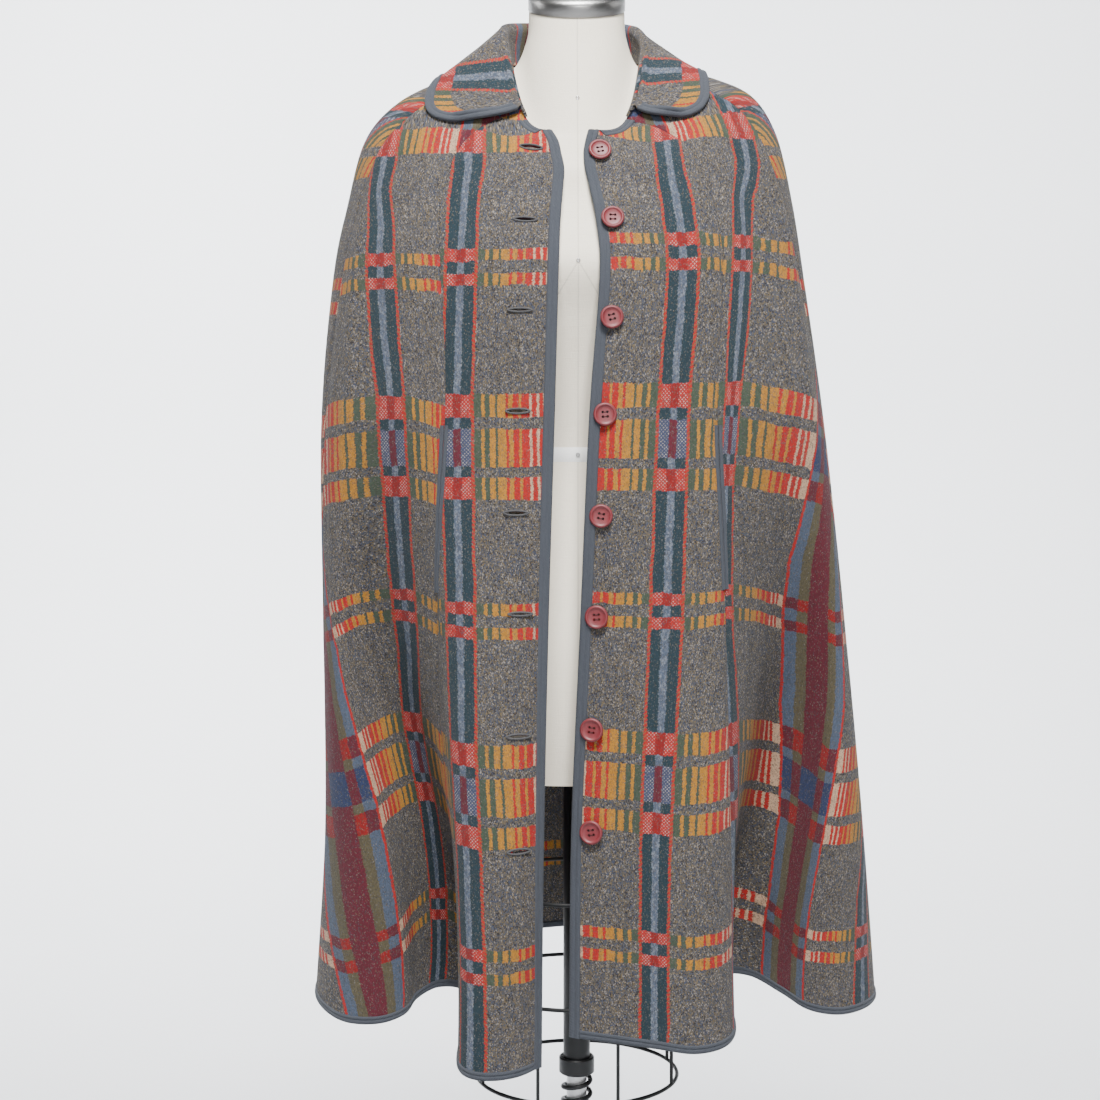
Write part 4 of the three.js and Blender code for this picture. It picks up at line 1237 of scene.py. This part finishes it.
BUTTON_PROFILE = [
    [0, 0], [8.6, 0], [10.2, 0.5], [11.2, 1.5], [11.5, 2.3], [11.2, 3.2], [10.5, 3.8], [9.7, 4.0],
    [9.1, 3.8], [8.6, 3.2], [7.6, 2.7], [5.0, 2.5], [0, 2.45],
]  # fmt: skip
HOLE_AT = 2.3


def button_mesh():
    """Turned button with four holes, in its own frame."""
    points, faces = turned(BUTTON_PROFILE, 64)
    mesh = bpy.data.meshes.new("button blank")
    mesh.from_pydata(points.tolist(), [], faces)
    drills = bmesh.new()
    for x in (-HOLE_AT, HOLE_AT):
        for y in (-HOLE_AT, HOLE_AT):
            made = bmesh.ops.create_cone(
                drills, cap_ends=True, segments=20, radius1=1.2, radius2=1.4, depth=12
            )
            bmesh.ops.translate(drills, verts=made["verts"], vec=(x, y, 2))
    cutter_mesh = bpy.data.meshes.new("button drills")
    drills.to_mesh(cutter_mesh)
    drills.free()
    return cut(mesh, cutter_mesh)


def cut(mesh, cutter_mesh):
    """Points and faces of a mesh after another is cut out of it."""
    scene = bpy.context.scene.collection
    blank = bpy.data.objects.new("blank", mesh)
    cutter = bpy.data.objects.new("cutter", cutter_mesh)
    scene.objects.link(blank)
    scene.objects.link(cutter)
    change = blank.modifiers.new("cut", "BOOLEAN")
    change.operation, change.object, change.solver = "DIFFERENCE", cutter, "EXACT"
    made = blank.evaluated_get(bpy.context.evaluated_depsgraph_get()).to_mesh()
    points = np.array([vertex.co[:] for vertex in made.vertices])
    faces = [list(polygon.vertices) for polygon in made.polygons]
    bpy.data.objects.remove(blank)
    bpy.data.objects.remove(cutter)
    bpy.data.meshes.remove(mesh)
    bpy.data.meshes.remove(cutter_mesh)
    return points, faces


BUTTON_POINTS, BUTTON_FACES = button_mesh()


def button_thread():
    """Two stitches through the four holes, and the shank under the button."""
    strands = []
    for y in (-HOLE_AT, HOLE_AT):
        x = np.linspace(-HOLE_AT, HOLE_AT, 13)
        z = 0.9 + 1.9 * np.sqrt(np.maximum(1 - (x / HOLE_AT) ** 6, 0))
        line = np.stack([x, np.full(13, y), z], -1)
        strands.append(tube(line, 0.3, 8))
    strands.append(tube([[0, 0, -1.4], [0, 0, -0.6], [0, 0, 0.3]], 1.6, 16))
    return together(*strands)


def hole_outline(half_length, half_width, count):
    """Lens-shaped outline of a buttonhole in its own frame."""
    turn = 2 * np.pi * np.arange(count) / count
    x = half_length * np.cos(turn)
    y = half_width * np.sign(np.sin(turn)) * np.abs(np.sin(turn)) ** 1.3
    return np.stack([x, y, 0 * x], -1)


def buttonholes():
    """Cuts the eight holes in the right front and binds each with a stitched lip."""
    cutters, lips = [], []
    for i in range(BUTTONS):
        at = {name: values[i] for name, values in FASTENINGS.items()}
        frame_here = frame_on(right_edge, at["hole"], at["hole_in"] + 5.75)
        slit = hole_outline(HOLE_LENGTH / 2, HOLE_OPEN[i], HOLE_POINTS)
        ends = [placed(slit + [0, 0, depth], *frame_here) for depth in (7.0, -9.0)]
        faces = grid_faces(2, HOLE_POINTS, closed=True).tolist()
        faces += [list(range(HOLE_POINTS)), list(range(HOLE_POINTS, 2 * HOLE_POINTS))[::-1]]
        cutters.append((np.concatenate(ends), faces))
        around = hole_outline(
            HOLE_LENGTH / 2 + LIP_REACH, HOLE_OPEN[i] + LIP_REACH, 2 * HOLE_POINTS
        )
        lip = placed(around + [0, 0, 0.1], *frame_here)
        lips.append(tube(lip, 1.05, 10, True))
    points, faces, _ = together(*cutters)
    cutter_mesh = bpy.data.meshes.new("slits")
    cutter_mesh.from_pydata((points * MM).tolist(), [], faces)
    cutter = bpy.data.objects.new("slits", cutter_mesh)
    bpy.context.scene.collection.objects.link(cutter)
    front = panels["front_right"]
    change = front.modifiers.new("slits", "BOOLEAN")
    change.operation, change.object, change.solver = "DIFFERENCE", cutter, "EXACT"
    seen = front.evaluated_get(bpy.context.evaluated_depsgraph_get())
    made = bpy.data.meshes.new_from_object(seen)
    front.modifiers.clear()
    front.data = made
    bpy.data.objects.remove(cutter)
    points, faces, uv = together(*lips)
    bound = add_piece("buttonhole_lips", points, faces, LIP, "dressed_form", uv, 60)
    return bound


lips = buttonholes()
THREAD_MESH = button_thread()
for i in range(BUTTONS):
    at = {name: values[i] for name, values in FASTENINGS.items()}
    place, along, up, out = frame_on(left_edge, at["button"], -at["button_in"])
    place = place + out * BUTTON_LIFT
    turn = math.radians(BUTTON_TURNS[i])
    x_way = along * math.cos(turn) + up * math.sin(turn)
    y_way = up * math.cos(turn) - along * math.sin(turn)
    name = f"button_{i + 1}"
    spots = placed(BUTTON_POINTS, place, x_way, y_way, out)
    button = add_piece(name + "_turned", spots, BUTTON_FACES, ROSE, "dressed_form", None, 50)
    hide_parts(name)
    spots = placed(THREAD_MESH[0], place, x_way, y_way, out)
    thread = add_piece(f"button_thread_{i + 1}", spots, THREAD_MESH[1], THREAD, "dressed_form")


# Dress form

BODY = table_of(
    "z_front z_side z_back half_width front back",
    [
        [1292, 1350, 1325, 184, 95, 100],
        [1258, 1290, 1280, 162, 107, 106],
        [1220, 1225, 1225, 152, 120, 104],
        [1140, 1140, 1140, 131, 100, 90],
        [1030, 1030, 1030, 116, 86, 79],
        [930, 930, 930, 141, 100, 106],
        [840, 840, 840, 164, 110, 127],
        [760, 760, 760, 162, 108, 122],
        [700, 700, 700, 152, 102, 114],
    ],
)
NECK_TOP = 1493.0
NECK_LEAN = 0.36


def oval(angle, z, lean, half_width, front, back):
    s, c = np.sin(np.radians(angle)), np.cos(np.radians(angle))
    y = -np.where(c > 0, front, back) * c
    return np.stack([-half_width * s, y, z + lean * y], -1)


def body_point(angle, row):
    s, c = np.sin(np.radians(angle)), np.cos(np.radians(angle))
    at = {name: smooth(BODY[name], row) for name in BODY}
    end_z = np.where(c > 0, at["z_front"], at["z_back"])
    z = end_z + (at["z_side"] - end_z) * s * s
    depth = np.where(c > 0, at["front"], at["back"])
    return np.stack([-at["half_width"] * s, -depth * c, z], -1)


def torso_piece():
    angles = np.arange(0, 360, 2.5)
    rings = [oval(angles, NECK_TOP, NECK_LEAN, 50, 47, 47), oval(angles, 1464.0, 0.25, 52, 51, 54)]
    rings += [on_yoke(angles, row, -4.3) for row in np.linspace(0, 3, 6)]
    rings += [body_point(angles, row) for row in np.linspace(0, 8, 13)]
    fine = curve_through(rings, np.linspace(0, 1, 141))
    count = len(angles)
    points = fine.reshape(-1, 3)
    faces = [list(face) for face in grid_faces(len(fine), count, closed=True)]
    faces.append(list(range(count)))
    faces.append([(len(fine) - 1) * count + i for i in range(count)][::-1])
    return add_piece("form_torso_linen", points, faces, LINEN, "dressed_form", None, 60)


torso = torso_piece()
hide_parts("form_torso")


def waist_tape():
    angles = np.arange(0, 360, 3.0)
    rows = np.linspace(3.93, 4.07, 5)
    line = np.stack([body_point(angles, row) for row in rows])
    away = unit(line * [1, 1, 0])
    profile = np.array([0.15, 0.8, 0.9, 0.8, 0.15])[:, None, None]
    rings = np.concatenate([line + away * profile, (line - away * 0.3)[::-1]])
    count = len(angles)
    closed = np.concatenate([rings, rings[:1]])
    quads = grid_faces(len(closed), count, closed=True)
    faces = [[int(i) % (len(rings) * count) for i in quad] for quad in quads]
    return add_piece("waist_tape", rings.reshape(-1, 3), faces, TAPE, "dressed_form")


tape = waist_tape()


def pins_piece():
    """Three small pins down the form's centre front."""
    heads = []
    for z in (1392.0, 1223.0, 1030.0):
        line = torso_front(z)
        ring = 2 * np.pi * np.arange(20) / 20
        head = [[line[0] + 1.7 * math.cos(a), line[1] - 0.5, z + 1.7 * math.sin(a)] for a in ring]
        heads.append(tube(head, 0.35, 8, True))
        heads.append(tube([[line[0], line[1] + 1.2, z], [line[0], line[1] - 0.9, z]], 0.8, 12))
    points, faces, _ = together(*heads)
    return add_piece("form_pins", points, faces, PIN, "dressed_form")


def torso_front(z):
    """Place on the form's centre front at a height, on the tape where that covers it."""
    spots = np.array([vertex.co[:] for vertex in torso.data.vertices]) / MM
    line = spots[(np.abs(spots[:, 0]) < 0.5) & (spots[:, 1] < 0)]
    line = line[np.argsort(line[:, 2])]
    y = np.interp(z, line[:, 2], line[:, 1])
    return 0.0, y - (0.9 if abs(z - 1030) < 8 else 0.0)


pins = pins_piece()

CAP_PROFILE = [
    [0, 0.3], [49.6, 0.3], [50.6, 0.7], [51, 1.4], [51, 11.5], [50.4, 13.6], [48.8, 15.8],
    [45.6, 18], [38, 21], [30, 23.6], [20, 25.8], [9, 27], [0, 27.3],
]  # fmt: skip


def cap_piece():
    points, faces = turned(CAP_PROFILE, 96)
    lean = math.atan(NECK_LEAN)
    y = points[:, 1] * math.cos(lean) - points[:, 2] * math.sin(lean)
    z = points[:, 1] * math.sin(lean) + points[:, 2] * math.cos(lean) + NECK_TOP
    return add_piece(
        "neck_cap_turned", np.stack([points[:, 0], y, z], -1), faces, STEEL, "dressed_form"
    )


cap = cap_piece()
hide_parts("neck_cap")


def cage_at(angle, z):
    return np.stack([105 * np.cos(angle), 98 * np.sin(angle), z + 0 * angle], -1)


def cage_piece():
    round_angles = 2 * np.pi * np.arange(96) / 96
    wires = [tube(cage_at(round_angles, z), 2.0, 10, True) for z in (580.0, 475.0, 380.0)]
    for i in range(8):
        angle = 2 * math.pi * (i + 0.5) / 8
        heights = np.linspace(379.0, 699.6, 24)
        wires.append(tube(cage_at(np.full(24, angle), heights), 1.9, 10))
    points, faces, _ = together(*wires)
    return add_piece("cage_wire", points, faces, WIRE, "dressed_form")


cage = cage_piece()
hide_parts("cage")


def pipe(outer, bore, bottom, top, soft=0.8):
    return [
        [bore, bottom + soft], [bore + soft, bottom], [outer - soft, bottom], [outer, bottom + soft],
        [outer, top - soft], [outer - soft, top], [bore + soft, top], [bore, top - soft],
    ]  # fmt: skip


STAND_PIECES = [
    ("pole", pipe(14, 11.2, 380, 699.6), POLE_FINISH, "dressed_form", "black_pole"),
    ("flange", pipe(18.5, 14.3, 380, 397, 1.2), POLE_FINISH, "dressed_form", "black_pole"),
    ("spring_seat", pipe(20, 10.8, 227.2, 243.2, 1.2), POLE_FINISH, "stand", "black_pole"),
    (
        "inner_tube",
        [[0, 86.3], [9.7, 86.3], [10.5, 87.1], [10.5, 664.2], [9.7, 665], [0, 665]],
        TUBE_FINISH,
        "stand",
        "tube_metal",
    ),
    (
        "base",
        [
            [0, 0], [213.6, 0], [215, 1.2], [215, 6.4], [213.8, 8.6], [211.4, 10], [50, 10.2],
            [44, 11.4], [39.5, 14], [36, 18], [34, 24], [28, 78], [26.8, 83], [24.5, 85.4], [21, 86],
            [0, 86],
        ],
        IRON,
        "stand",
        "black_iron",
    ),
]  # fmt: skip
for name, profile, finish, body, slot in STAND_PIECES:
    piece = add_piece(name + "_turned", *turned(profile, 96), finish, body)
    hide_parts(name)


def spring_piece():
    turns = (377.2 - 246) / 14
    t = np.linspace(0, 1, int(turns * 40))
    turn = 2 * np.pi * turns * t
    line = np.stack([14.3 * np.cos(turn), 14.3 * np.sin(turn), 246 + 131.2 * t], -1)
    points, faces, _ = tube(line, 2.5, 10)
    return add_piece("spring_wire", points, faces, WIRE, "stand")


spring = spring_piece()
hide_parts("spring")


# Flat cut of each piece of cloth in metres and square metres, and the pieces sewn to it

CUTS = {
    "front_right": (0.20, 0.98, 0.120, ["front_binding_right", "neck_binding_right"]),
    "side_right": (0.32, 1.07, 0.190, ["slit_binding_right_front", "slit_binding_right_side"]),
    "back": (0.98, 1.10, 0.790, ["hem_binding"]),
    "side_left": (0.40, 1.07, 0.207, ["slit_binding_left_front", "slit_binding_left_side"]),
    "front_left": (0.20, 0.96, 0.128, ["front_binding_left", "neck_binding_left"]),
    "collar": (0.58, 0.135, 0.053, ["collar_binding"]),
}
for name, (width, length, area, bound) in CUTS.items():
    sewn = [braids[edge] for edge in bound]
    if name == "front_right":
        sewn.append(lips)
    piece = collar if name == "collar" else panels[name]


# Floor, light and camera


def clear_from_behind(material):
    """Lets a view from behind a painted surface pass through it."""
    tree = material.node_tree
    paint = next(n for n in tree.nodes if n.type == "BSDF_PRINCIPLED")
    end = next(n for n in tree.nodes if n.type == "OUTPUT_MATERIAL")
    side = tree.nodes.new("ShaderNodeNewGeometry")
    clear = tree.nodes.new("ShaderNodeBsdfTransparent")
    choice = tree.nodes.new("ShaderNodeMixShader")
    tree.links.new(side.outputs["Backfacing"], choice.inputs[0])
    tree.links.new(paint.outputs[0], choice.inputs[1])
    tree.links.new(clear.outputs[0], choice.inputs[2])
    tree.links.new(choice.outputs[0], end.inputs[0])


def room():
    """Pale floor that curves up into a backdrop."""
    line = [[-6.0, 0], [2.0, 0]]
    for i in range(1, 13):
        turn = math.radians(90 * i / 12)
        line.append([2.0 + 1.2 * math.sin(turn), 1.2 * (1 - math.cos(turn))])
    line.append([3.2, 6.0])
    points = np.array([[x, y, z] for y, z in line for x in (-7.0, 7.0)])
    mesh = bpy.data.meshes.new("backdrop")
    mesh.from_pydata(points.tolist(), [], grid_faces(len(line), 2).tolist())
    mesh.polygons.foreach_set("use_smooth", [True] * len(mesh.polygons))
    backdrop = bpy.data.objects.new("backdrop", mesh)
    bpy.context.scene.collection.objects.link(backdrop)
    if mesh.polygons[0].normal.z < 0:
        mesh.flip_normals()
    paint = plain("backdrop paint", (200, 202, 205), (196, 198, 201), 0.9, 3.0)
    clear_from_behind(paint)
    mesh.materials.append(paint)


def lamp(name, place, aim, size, power, spread=180):
    data = bpy.data.lights.new(name, "AREA")
    data.spread = math.radians(spread)
    data.shape, data.size, data.size_y, data.energy = "RECTANGLE", size[0], size[1], power
    light = bpy.data.objects.new(name, data)
    bpy.context.scene.collection.objects.link(light)
    light.location = place
    way = np.array(aim) - np.array(place)
    flat = math.hypot(way[0], way[1])
    light.rotation_euler = (math.atan2(flat, -way[2]), 0, math.atan2(-way[0], way[1]))


room()
lamp("ceiling panel", (0.05, -1.9, 4.4), (0, 0, 1.0), (1.5, 1.0), 480)
lamp("front fill", (0.45, -3.5, 1.7), (0, 0, 1.1), (0.6, 0.8), 62)
lamp("backdrop left", (-2.6, 0.9, 2.6), (0.4, 3.2, 1.0), (1.2, 2.4), 245, 105)
lamp("backdrop right", (2.6, 0.9, 2.6), (-0.4, 3.2, 1.0), (1.2, 2.4), 120, 105)
world = bpy.data.worlds.new("studio")
bpy.context.scene.world = world
world.use_nodes = True
world.node_tree.nodes["Background"].inputs[0].default_value = srgb(236, 238, 241)
world.node_tree.nodes["Background"].inputs[1].default_value = 0.05

view = bpy.data.cameras.new("photo view")
camera = bpy.data.objects.new("photo view", view)
bpy.context.scene.collection.objects.link(camera)
camera.location = (-0.028, -2.0, 1.085)
camera.rotation_euler = (math.radians(90), 0, 0)
view.sensor_width = 36.0
view.lens = 62.35
view.shift_y = -0.1364
bpy.context.scene.camera = camera

bpy.context.view_layer.update()
